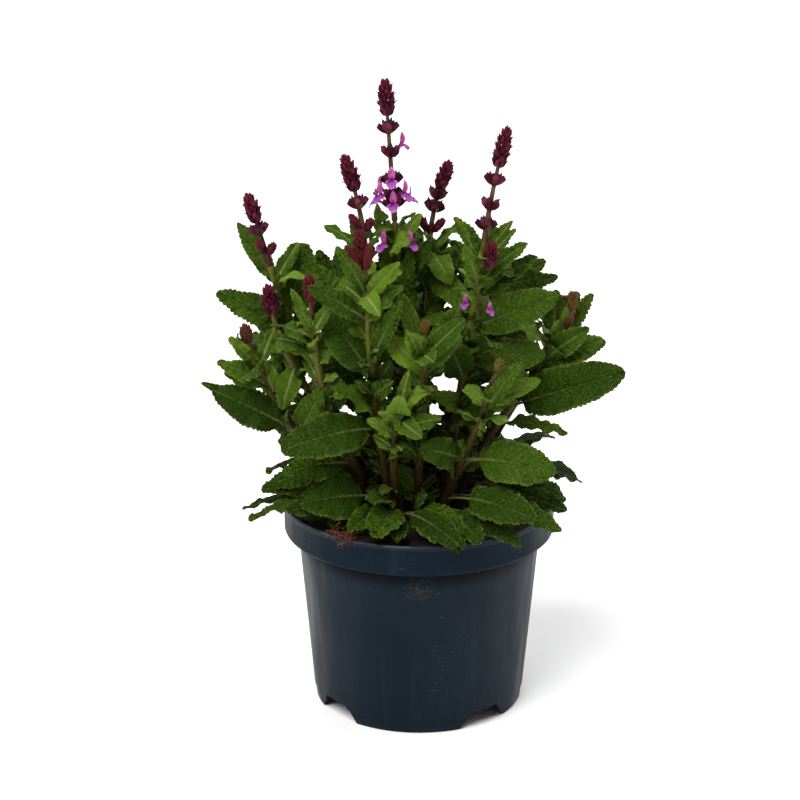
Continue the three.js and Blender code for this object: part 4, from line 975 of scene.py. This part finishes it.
# Long-stalked leaves from the foot of the plant that arch out over the lip, round sides and back.
for count in range(SKIRT_LEAVES):
    heading = radians(SKIRT_FROM + SKIRT_SPAN * ((count + 0.4 * draw(count + 2000)) / SKIRT_LEAVES))
    way = Vector((math.cos(heading), math.sin(heading), 0))
    stem = max(STEMS, key=lambda name: STEMS[name][0][0] * way.x + STEMS[name][0][1] * way.y)
    base = on_stem(stem, SKIRT_FOOT + 8 * draw(count + 2100))
    tip = way * (SKIRT_REACH + 18 * draw(count + 2200))
    tip.z = SKIRT_LEVEL + 18 * draw(count + 2300)
    face = way * 0.6 + Vector((0, 0, 0.8))
    leaf = Leaf(stem, base, tip, SKIRT_WIDTH + 8 * draw(count + 2400), SKIRT_ARCH, face)
    settle(leaf, both_ways(10, 20), [0, 8, 16, -6], [1, 0.85, 0.7])

grow_listed(FILLING_LEAVES, both_ways(5, 10, 16, 24), both_ways(6, 12), [1, 0.9, 0.8], FILLING_ROOM)

# Young shoots in the axils: pairs of small leaves wherever the larger ones leave room for them.
grown = 3000
for stem, (*_, side, _) in STEMS.items():
    curve = stem_curves[stem]
    height = SHOOTS_FROM
    while height < curve[3].z - 6:
        base = on_stem(stem, height)
        height += SHOOT_STEP + 4 * draw(grown)
        if base.z < SHOOTS_SPARSE_BELOW and base.y < 4 and draw(grown + 77) < 0.5:
            grown += 1
            continue
        for half in range(2):
            grown += 1
            length = (SHOOT_LENGTH + 15 * draw(grown)) * (BACK_SHOOT_GROWTH if base.y > 12 else 1)
            heading = radians(side + 45 + 1.7 * base.z + 180 * half + 50 * draw(grown + 500))
            rise = radians(SHOOT_RISE + 42 * draw(grown + 900))
            tip = tip_from(base, length, heading, rise)
            face = Vector((tip.x, tip.y, 0)).normalized() * 0.6 + Vector((0, 0, 0.8))
            width = length * (SHOOT_BREADTH + 0.14 * draw(grown + 1300))
            leaf = Leaf(stem, base, tip, width, SHOOT_ARCH * length, face)
            settle(leaf, both_ways(25, 50), [0, 15, -20], [1, 0.75], YOUNG_ROOM)


def framed_points(curve, steps):
    """Points along a curve, each with two directions across it that don't twist."""
    across = curve_heading(curve, 0).orthogonal().normalized()
    points = []
    for i in range(steps + 1):
        along = curve_heading(curve, i / steps)
        across = (across - along * across.dot(along)).normalized()
        points.append((curve_point(curve, i / steps), across, along.cross(across)))
    return points


TOOTH = 3.1
TOOTH_DEPTH = 1.25
VEIN_SPACING = 5.4
VEIN_SLANT = 0.8
LEAF_COLUMNS = 24
SMALL_LEAF_COLUMNS = 16
YOUNG_DEPTH = 75
YOUNG_LENGTH = 52
ROW_LENGTH = 1.03
SMALL_ROW_LENGTH = 1.35
HALF_THICKNESS = 0.16
STALK_HALF = 0.95
STALK_THICKNESS = 0.72
MIDRIB_HEIGHT = 0.5
MIDRIB_WIDTH = 0.75
GROOVE_DEPTH = 0.28
GROOVE_WIDTH = 0.6
PUCKER = 0.95
LUMP = 0.55
FLAP = 4.6
RUFFLE = 1.3


def over_and_under(u):
    """The place across a blade, from -1 to 1 and back again, and the side of it, 1 or -1."""
    return (-1 + 4 * u, 1) if u <= 0.5 else (3 - 4 * u, -1)


def grow_leaf(bm, leaf, number, layers):
    """One leaf: a channelled stalk that widens into a thin, puckered blade with round teeth."""
    blade_layer, tone_layer = layers
    top = stem_curves[leaf.stem][3].z
    young = min(1, max(0, 1.15 - (top - leaf.base.z) / YOUNG_DEPTH))
    young *= min(1, max(0.0, (YOUNG_LENGTH - leaf.length) / 24))
    tone = Vector((draw(29 * number + 417) ** 1.5, young, 0))
    fold = BLADE_FOLD * (0.55 + 1.1 * draw(number + 600))
    drop = MARGIN_DROP * (0.6 + 1.3 * draw(number + 650))
    droop = leaf.length * (0.13 * draw(number + 700) - 0.03)
    small = leaf.length < STALKLESS_LENGTH + 6
    rows = math.ceil(leaf.length / (SMALL_ROW_LENGTH if small else ROW_LENGTH))
    columns = SMALL_LEAF_COLUMNS if small else LEAF_COLUMNS
    fullness = 0.46 + 0.14 * draw(number + 620)
    teeth = max(3, round(leaf.length * (1 - leaf.stalk) / TOOTH))
    stations = [leaf.lie(i / rows) for i in range(rows + 1)]
    stalk_end = leaf.stalk * leaf.length

    def place(corner, u, v):
        row = round(v * rows)
        point, across, out = stations[row]
        w, upper = over_and_under(u)
        w = math.copysign(abs(w) ** 1.5, w)
        x = v * leaf.length
        blade = leaf.blade_half(v, fullness)
        s = max(0.0, (v - leaf.stalk) / (1 - leaf.stalk))
        spread = min(1.0, blade / 3)
        uneven = 0.7 + 0.6 * noise.noise(Vector((x * 0.3, w, number)))
        notch = (1 - abs(math.sin(math.pi * teeth * s))) ** 1.5 * uneven
        bite = 1 - min(0.3, 1.3 * TOOTH_DEPTH / max(blade, 1)) * spread * notch * abs(w) ** 3
        stalk = STALK_HALF * max(0.0, 1 - s * 1.15)
        half = 0 if row in (0, rows) else max(blade * bite, stalk)
        y = w * half
        height = blade * (fold * abs(w) + (margin_wave(v, w) - drop) * w * w) - droop * s * s
        side = abs(y)
        ribs = abs(math.sin(math.pi * (x - stalk_end - VEIN_SLANT * side) / VEIN_SPACING))
        swell = min(1.0, side / 1.6) * spread * (1 - abs(w) ** 4)
        height += swell * (PUCKER * ribs - 0.45)
        height += spread * LUMP * noise.noise(Vector((x * 0.34, y * 0.34, 7.0 * number)))
        height += spread * abs(w) * FLAP * noise.noise(Vector((x * 0.075, 0.8 * w, 3.0 * number)))
        height += spread * w * w * RUFFLE * math.sin(x * 0.55 + 2.6 * w + number)
        thick = HALF_THICKNESS * (1 - w * w)
        if upper < 0:
            thick += MIDRIB_HEIGHT * math.exp(-((side / MIDRIB_WIDTH) ** 2)) * (1 - 0.55 * s)
        else:
            thick -= GROOVE_DEPTH * math.exp(-((side / GROOVE_WIDTH) ** 2)) * spread
        if blade < 1.4:
            stalk_round = STALK_THICKNESS * math.sqrt(max(0.0, 1 - w * w)) * max(0.0, 1 - 1.2 * s)
            thick = max(thick, stalk_round * (1 if upper < 0 else 0.5))
        height += 0 if row in (0, rows) else upper * thick
        corner.co = (point + across * y + out * height) * MM
        corner[blade_layer] = Vector((x - stalk_end, y, w * w))
        corner[tone_layer] = Vector((tone.x, tone.y, upper * 0.5 + 0.5 if abs(w) < 0.999 else 0.5))

    sleeve(bm, columns, rows, place)


def grow_stem(bm, curve, foot, top):
    """A square stem with softened corners that tapers along a curve, in the mesh's second finish."""
    steps = max(6, round((curve[0] - curve[-1]).length / STEM_STEP))
    stations = framed_points(curve, steps)

    def place(corner, u, v):
        point, first, second = stations[round(v * steps)]
        angle = 2 * math.pi * u
        radius = 0 if v in (0, 1) else foot + (top - foot) * v
        c, s = math.cos(angle), math.sin(angle)
        x = math.copysign(abs(c) ** STEM_ROUNDNESS, c) * radius
        y = math.copysign(abs(s) ** STEM_ROUNDNESS, s) * radius
        corner.co = (point + first * x + second * y) * MM

    sleeve(bm, STEM_SIDES, steps, place, 1)


def painted(tree, name):
    """The three values that each corner of a mesh carries under a name."""
    return split(tree, add_node(tree, "Attribute", attribute_name=name).outputs["Vector"])


leaf_green, tree, shader = new_finish("sage_leaf", 0.5, Specular_IOR_Level=0.09)
along, across, margin = painted(tree, "blade")
chance, young, upper = painted(tree, "tone")
place = object_place(tree)
side = maths(tree, "ABSOLUTE", across)
slanted = maths(tree, "SUBTRACT", along, times(tree, side, VEIN_SLANT))
from_vein = maths(tree, "PINGPONG", slanted, VEIN_SPACING / 2)
lateral = times(tree, graded(tree, from_vein, 0.1, 0.55, 1, 0), graded(tree, margin, 0.55, 1.0, 1, 0.2))
midrib = graded(tree, side, 0.2, 0.6, 1, 0)
stout = times(tree, graded(tree, side, 0.5, 1.1, 1, 0), graded(tree, along, 2, 34, 1, 0))
flat = add_node(tree, "CombineXYZ", {"X": along, "Y": across, "Z": times(tree, chance, 90.0)}).outputs[0]
net = add_node(tree, "TexVoronoi", {"Vector": flat, "Scale": 0.72}, feature="DISTANCE_TO_EDGE")
cells = graded(tree, net.outputs["Distance"], 0.0, 0.13)
blotches = noise_at(tree, place, 45.0, 2.0)
grains = noise_at(tree, place, 900.0, 2.0)
height = split(tree, place)["Z"]
shade = maths(tree, "ADD", times(tree, chance, 0.46), times(tree, blotches, 0.24))
shade = maths(tree, "ADD", shade, graded(tree, height, 0.13, 0.34, 0.19, 0.35))
green = colour_ramp(
    tree, shade, (0.2, (0.01, 0.031, 0.0004)), (0.5, (0.031, 0.076, 0.001)), (0.95, (0.085, 0.16, 0.006))
)
fresh = times(tree, young, graded(tree, chance, 0.1, 0.75, 0.12, 0.9))
green = blend(tree, fresh, green, (0.12, 0.205, 0.013))
# Painted shade: the colour darkens along the sunken net between the puckers, for the shade in those creases,
# less so on young leaves.
crease_shade = times(tree, graded(tree, cells, 0.0, 1.0, 0.6, 0.0), graded(tree, young, 0.0, 0.8, 1.0, 0.45))
green = blend(tree, crease_shade, green, (0.34, 0.46, 0.2), "MULTIPLY")
flecks = times(tree, graded(tree, grains, 0.56, 0.7, 0.0, 0.42), graded(tree, young, 0.0, 0.8, 1.0, 0.3))
green = blend(tree, flecks, green, (0.15, 0.2, 0.035))
veins = maths(tree, "MAXIMUM", times(tree, lateral, 0.2), times(tree, midrib, 0.6))
green = blend(tree, veins, green, (0.17, 0.23, 0.04))
green = blend(tree, times(tree, stout, 0.9), green, (0.23, 0.26, 0.09))
# Painted highlight: the leaf margins are lighter, for light catching their edges.
green = blend(tree, graded(tree, margin, 0.72, 0.98, 0, 0.35), green, (0.2, 0.27, 0.03))
pale = times(tree, maths(tree, "SUBTRACT", 1.0, upper), 0.5)
green = blend(tree, pale, green, (0.09, 0.14, 0.025))
puckers = maths(tree, "SUBTRACT", cells, times(tree, maths(tree, "MAXIMUM", lateral, midrib), 1.2))
puckers = maths(tree, "ADD", puckers, times(tree, grains, 0.3))
wrinkles = relief(tree, puckers, graded(tree, young, 0.0, 0.8, 0.9, 0.4), 0.0026)
feed(tree, shader, Base_Color=green, Roughness=graded(tree, grains, 0.3, 0.7, 0.46, 0.64), Normal=wrinkles)

stem_skin, tree, shader = new_finish("sage_stem", 0.55, Specular_IOR_Level=0.15)
place = object_place(tree)
height = split(tree, place)["Z"]
mottle = noise_at(tree, place, 160.0, 4.0)
drawn = stretched(tree, place, (900, 900, 40))
fibres = noise_at(tree, drawn, 1.0, 2.0)
climb = maths(tree, "ADD", graded(tree, height, 0.14, 0.34), times(tree, mottle, 0.5))
skin = colour_ramp(
    tree, climb, (0.2, (0.026, 0.01, 0.004)), (0.6, (0.052, 0.036, 0.006)), (0.98, (0.105, 0.115, 0.012))
)
skin = blend(tree, graded(tree, mottle, 0.5, 0.72, 0, 0.6), skin, (0.065, 0.022, 0.01))
skin = blend(tree, graded(tree, fibres, 0.5, 0.75, 0, 0.2), skin, (0.13, 0.15, 0.04))
feed(tree, shader, Base_Color=skin, Normal=relief(tree, fibres, 0.4, 0.0003))

for stem in STEMS:
    bm = bmesh.new()
    layers = [bm.verts.layers.float_vector.new(name) for name in ("blade", "tone")]
    grow_stem(bm, stem_curves[stem], STEM_FOOT_RADIUS, 1.15 * STEM_TOP_RADIUS)
    for number, leaf in enumerate(leaves):
        if leaf.stem == stem:
            grow_leaf(bm, leaf, number, layers)
    foliage = finished_mesh(bm, f"foliage_{stem}", [leaf_green, stem_skin], crease=60)
    stand_in_for(foliage, "leaf", f"leafy_stem_{stem}")


# ---- flower spikes ----
# Dark wine-red spikes over the leaves: a thin stalk with dense whorls of ribbed, hairy calyces,
# close together at the tip and apart lower down, and a pair of pointed bracts under each whorl.

BUD_STEP = 2.7
BUDS_PER_WHORL = 6
BRACT_FLATNESS = 0.3
CALYX_WIDTH = 4.3
CALYX_RIBS = 5
CALYX_MOUTH = 0.75
LAST_WHORL = 3.6
BUD_BEND = 0.16
STALK_TIP_RADIUS = 0.8
TIP_BUD = 3.6

# How green and unripe a head is: 0 is ripe and wine red, 1 a dull brown, and 2 green.
UNRIPE = {
    "F": 0.1, "G": 0.45, "H": 0.5, "J": 0.85, "K": 1.25, "L": 1.2, "M": 1.45,
    "Q": 0.3, "R": 0.7, "S": 0.6, "T": 0.5, "U": 0.7, "V": 0.6,
}

# Where a fat young side shoot sits in the lowest leaves of spike C: its foot and its tip.
SIDE_SHOOT = ((45, -31, 318), (48, -37, 340))


def grow_bud(bm, foot, heading, length, width, number, ribs=6, flat=1.0, mouth=0.0, red=0.0, young=0.0):
    """A pointed calyx; flat presses it into a bract, and mouth opens its end."""
    tone_layer = bm.verts.layers.float_vector["tone"]
    first, second = square_to(heading)
    bend = Vector((0, 0, BUD_BEND * length))

    def place(corner, u, v):
        angle = 2 * math.pi * u
        body = math.sin(math.pi * min(1.0, v * (1 - 0.38 * mouth)) ** 0.72) ** 0.75 if 0 < v < 1 else 0
        body *= 1 + (0.1 if round(u * ribs * 2) % 2 else -0.1) * (mouth > 0)
        reach = v - (0.22 * mouth if v > 0.999 else 0)
        point = foot + heading * (length * reach) + bend * (reach * reach)
        half = width / 2 * body
        point += first * (half * math.cos(angle)) + second * (half * flat * math.sin(angle))
        corner.co = point * MM
        corner[tone_layer] = Vector((draw(number + 40000), red, young))

    sleeve(bm, ribs * 2 if mouth else ribs, 6 if mouth else 5, place, 0)


def grow_head(bm, curve, start, radius, number, young):
    """Dense whorls from part start of a curve to its tip, shrinking and closing as they climb."""
    length = sum((curve_point(curve, i / 20) - curve_point(curve, (i + 1) / 20)).length for i in range(20))
    whorls = max(3, round(length * (1 - start) / BUD_STEP))
    last = 1 - LAST_WHORL / length
    for whorl in range(whorls + 1):
        s = whorl / (whorls + 1)
        t = start + (last - start) * (1 - (1 - whorl / whorls) ** 1.3)
        along = curve_heading(curve, t)
        first, second = sideways(along)
        reach = 1.22 * radius * (1 - s ** 3.2) * min(1, 0.8 + 1.2 * s)
        size = (4.4 + 0.4 * radius) * (1 - 0.3 * s)
        for count in range(BUDS_PER_WHORL):
            number += 1
            angle = (count + 0.5 * (whorl % 2) + 0.4 * (draw(number) - 0.5)) / BUDS_PER_WHORL * 2 * math.pi
            out = spoke(first, second, angle)
            lean = math.asin(min(0.75, max(0.1, 0.66 * reach / size))) * (0.9 + 0.2 * draw(number + 100))
            heading = leaned(out, along, lean)
            foot = curve_point(curve, t) + out * (0.34 * reach)
            grow_bud(bm, foot, heading, size, 3.0 - 0.9 * s, number, red=s, young=young)
        for half in range(2):
            number += 1
            angle = math.pi * (half + 0.5 * (whorl % 2)) + 0.5 * draw(number)
            out = spoke(first, second, angle)
            lean = math.asin(min(0.85, max(0.1, 0.8 * reach / size)))
            heading = leaned(out, along, lean)
            foot = curve_point(curve, t) + out * (0.34 * reach) - along * 0.6
            width = 2.8 - 0.8 * s
            grow_bud(bm, foot, heading, size * 1.25, width, number, flat=BRACT_FLATNESS, red=s, young=young)
    for count in range(4):
        out, side = sideways(curve_heading(curve, 1))
        angle = count / 4 * 2 * math.pi
        heading = spoke(out, side, angle) * 0.3 + curve_heading(curve, 1)
        foot = curve_point(curve, 1) - heading.normalized() * 3.9
        grow_bud(bm, foot, heading.normalized(), TIP_BUD, 2.5, number + count, red=1.0, young=young)


calyx_skin, tree, shader = new_finish("wine_red_calyx", 0.55, Specular_IOR_Level=0.1)
chance, red, young = painted(tree, "tone")
place = object_place(tree)
mottle = noise_at(tree, place, 420.0, 3.0)
hairs = noise_at(tree, place, 2600.0, 1.0)
wine = colour_ramp(
    tree, maths(tree, "ADD", times(tree, chance, 0.5), times(tree, mottle, 0.5)),
    (0.2, (0.018, 0.001, 0.005)), (0.5, (0.05, 0.003, 0.014)), (0.8, (0.14, 0.018, 0.045)),
)
wine = blend(tree, times(tree, red, 0.5), wine, (0.14, 0.007, 0.02))
wine = blend(tree, graded(tree, young, 0.0, 0.6, 0.0, 0.75), wine, (0.085, 0.011, 0.009))
wine = blend(tree, graded(tree, young, 0.5, 1.0, 0.0, 0.85), wine, (0.085, 0.034, 0.01))
wine = blend(tree, graded(tree, young, 1.0, 2.0), wine, (0.1, 0.15, 0.012))
wine = blend(tree, graded(tree, hairs, 0.62, 0.74, 0, 0.25), wine, (0.26, 0.1, 0.13))
feed(tree, shader, Base_Color=wine, Normal=relief(tree, hairs, 0.4, 0.0002))

stalk_skin, tree, shader = new_finish("red_brown_stalk", 0.55, Specular_IOR_Level=0.2)
place = object_place(tree)
mottle = noise_at(tree, place, 120.0, 3.0)
drawn = stretched(tree, place, (1200, 1200, 60))
fibres = noise_at(tree, drawn, 1.0, 2.0)
bark = colour_ramp(
    tree, mottle, (0.35, (0.055, 0.014, 0.01)), (0.5, (0.09, 0.034, 0.02)), (0.7, (0.1, 0.08, 0.022))
)
bark = blend(tree, graded(tree, fibres, 0.5, 0.75, 0, 0.25), bark, (0.2, 0.13, 0.09))
feed(tree, shader, Base_Color=bark, Normal=relief(tree, fibres, 0.35, 0.0003))

for index, (name, (_, head, radius, whorls, buds)) in enumerate(SPIKES.items()):
    bm = bmesh.new()
    bm.verts.layers.float_vector.new("tone")
    curve = spike_curves[name]
    number = 50000 + 2000 * index
    root = [curve[0] - curve_heading(curve, 0) * 5] + curve[1:]
    grow_stem(bm, root, 1.12 * STEM_TOP_RADIUS, STALK_TIP_RADIUS)
    for order, spot in enumerate(whorls):
        along = curve_heading(curve, spot)
        for count in range(CALYCES_PER_WHORL):
            number += 4
            foot, heading = calyx_frame(curve, spot, order, count)
            if (name, order, count) not in WHORL_FLOWERS:
                heading = (heading + along * (0.35 * draw(number))).normalized()
            length = 1.24 * CALYX_LENGTH
            grow_bud(bm, foot, heading, length, CALYX_WIDTH, number, ribs=CALYX_RIBS, mouth=CALYX_MOUTH)
            for pair in range(2):
                turn = count + 0.3 + 0.3 * pair + 0.2 * draw(number + 1 + pair)
                foot, heading = calyx_frame(curve, spot + 0.006 * pair, order, turn)
                heading = (heading + along * (0.2 + 0.9 * draw(number + 2 + 3 * pair))).normalized()
                length = 6.8 + 2 * draw(number + 3 + pair)
                grow_bud(bm, foot + heading * 1.4, heading, length, 3.5, number + 1)
            foot, heading = calyx_frame(curve, spot - 0.014, order, count + 0.2)
            leafy = 1.6 if order == 0 and count % 2 else 0.3
            length, width = 7.6 + 1.2 * leafy, 2.4 + leafy
            grow_bud(bm, foot, heading, length, width, number + 2, flat=BRACT_FLATNESS, young=leafy)
    unripe = UNRIPE.get(name, 0.0)
    grow_head(bm, curve, 1 - 0.88 * head, radius, number, unripe)
    for bud in buds:
        start = curve_point(curve, 0.1)
        side = [start, Vector(bud)]
        grow_stem(bm, side, 0.9, 0.6)
        number += 400
        grow_head(bm, side, 0.25, 0.74 * SIDE_BUD_RADIUS, number, max(0.15, unripe))
    if name == "C":
        shoot = [Vector(end) for end in SIDE_SHOOT]
        grow_stem(bm, shoot, 1.4, STALK_TIP_RADIUS)
        grow_head(bm, shoot, 0.2, 4.4, number + 900, 0.15)
    spike = finished_mesh(bm, f"flower_spike_{name}", [calyx_skin, stalk_skin], crease=60)
    stand_in_for(spike, "calyx", f"spike_{name}")


# ---- open flowers ----
# Rose-pink two-lipped flowers that have come out of their calyces: a short tube, a hooded upper
# lip and a broad, drooping lower lip of three lobes, thin as paper at the margins.

TUBE_LENGTH = 4.8
HOOD_LENGTH = 7.0
HOOD_WIDTH = 4.8
LIP_LENGTH = 5.6
LIP_WIDTH = 6.8
LOBE_LENGTH = 3.8
LOBE_WIDTH = 3.4
FIRST_SMALL_FLOWER = 12
SMALL_FLOWER = 0.62


def flower_tube(bm, start, heading):
    """A slim funnel, closed where its throat narrows inside it."""
    tone_layer = bm.verts.layers.float_vector["tone"]
    first, second = square_to(heading)
    rings = [(0, 0), (0, 0.75), (0.3, 0.95), (0.6, 1.3), (0.85, 1.7), (1, 1.9)]
    rings += [(0.97, 1.6), (0.6, 0.9), (0.35, 0)]

    def place(corner, u, v):
        angle = 2 * math.pi * u
        ahead, radius = rings[round(v * (len(rings) - 1))]
        side = spoke(first, second, angle, radius)
        corner.co = (start + heading * (ahead * TUBE_LENGTH) + side) * MM
        corner[tone_layer] = Vector((0.5 * ahead, 0.5, 0))

    sleeve(bm, 16, len(rings) - 1, place)


def flower_lip(bm, foot, heading, rise, length, width, curl, cup, violet):
    """One petal: it leaves along heading, curls towards rise, and is cupped across its width."""
    tone_layer = bm.verts.layers.float_vector["tone"]
    side = heading.cross(rise).normalized()

    def place(corner, u, v):
        w, face = over_and_under(u)
        broad = width / 2 * (0.0 if v in (0, 1) else math.sin(math.pi * (0.1 + 0.9 * v) ** 1.15) ** 0.55)
        bend = curl * v
        reach, lag = length * v, bend * 0.6
        centre = foot + heading * (reach * math.cos(lag)) + rise * (reach * math.sin(lag))
        normal = rise * math.cos(bend) - heading * math.sin(bend)
        ruffle = 0.3 * math.sin(9 * v + 5 * w + length) * abs(w) * v
        height = cup * broad * w * w + ruffle + (0.13 * face * (1 - w * w) if 0 < v < 1 else 0)
        corner.co = (centre + side * (broad * w) + normal * height) * MM
        corner[tone_layer] = Vector((0.4 + 0.6 * v, violet, 0))

    sleeve(bm, 16, 9, place)


def open_flower(bm, calyx_tip, heading, number, size):
    bm.verts.layers.float_vector.new("tone")
    start = calyx_tip + heading * GAP
    up = (Vector((0, 0, 1)) - heading * heading.z).normalized()
    side = heading.cross(up)
    mouth = start + heading * (TUBE_LENGTH - 0.8)
    flower_tube(bm, start, heading)
    spread = 0.8 + 0.3 * draw(number + 600)
    hood, lip = heading * 0.75 + up * 0.66, heading * 0.9 - up * 0.44
    flower_lip(bm, mouth + up * 1.1, hood, up, HOOD_LENGTH * size, HOOD_WIDTH * size, 0.6 * spread, -0.8, 0.1)
    flower_lip(bm, mouth - up * 1.2, lip, -up, LIP_LENGTH * size, LIP_WIDTH * size, 1.9 * spread, -0.25, 0.72)
    for hand in (1, -1):
        way = heading * 0.7 + side * (0.68 * hand) - up * 0.2
        foot = mouth + side * (hand * 1.2) - up * 0.4
        flower_lip(bm, foot, way, -up, LOBE_LENGTH * size, LOBE_WIDTH * size, 1.2, -0.3, 0.6)


petal, tree, shader = new_finish("rose_pink_petal", 0.5, Specular_IOR_Level=0.2, Subsurface_Weight=0.15)
shader.inputs["Subsurface Radius"].default_value = (0.002, 0.0008, 0.0012)
shader.inputs["Subsurface Scale"].default_value = 0.5
outwards, violet, _ = painted(tree, "tone")
place = object_place(tree)
streaks = noise_at(tree, place, 700.0, 3.0)
pink = colour_ramp(tree, streaks, (0.35, (0.32, 0.022, 0.19)), (0.65, (0.6, 0.13, 0.4)))
pink = blend(tree, violet, pink, (0.2, 0.025, 0.31))
pink = blend(tree, graded(tree, outwards, 0.0, 0.4, 0.7, 0), pink, (0.25, 0.02, 0.11))
pink = blend(tree, graded(tree, outwards, 0.75, 1.0, 0, 0.35), pink, (0.75, 0.36, 0.66))
feed(tree, shader, Base_Color=pink, Normal=relief(tree, streaks, 0.3, 0.0003))

for number, (tip, heading) in enumerate(flowers, 1):
    bm = bmesh.new()
    open_flower(bm, tip, heading, number, SMALL_FLOWER if number >= FIRST_SMALL_FLOWER else 1)
    bloom = finished_mesh(bm, f"open_flower_{number}", [petal], crease=70)
    stand_in_for(bloom, "corolla", f"flower_{number}")
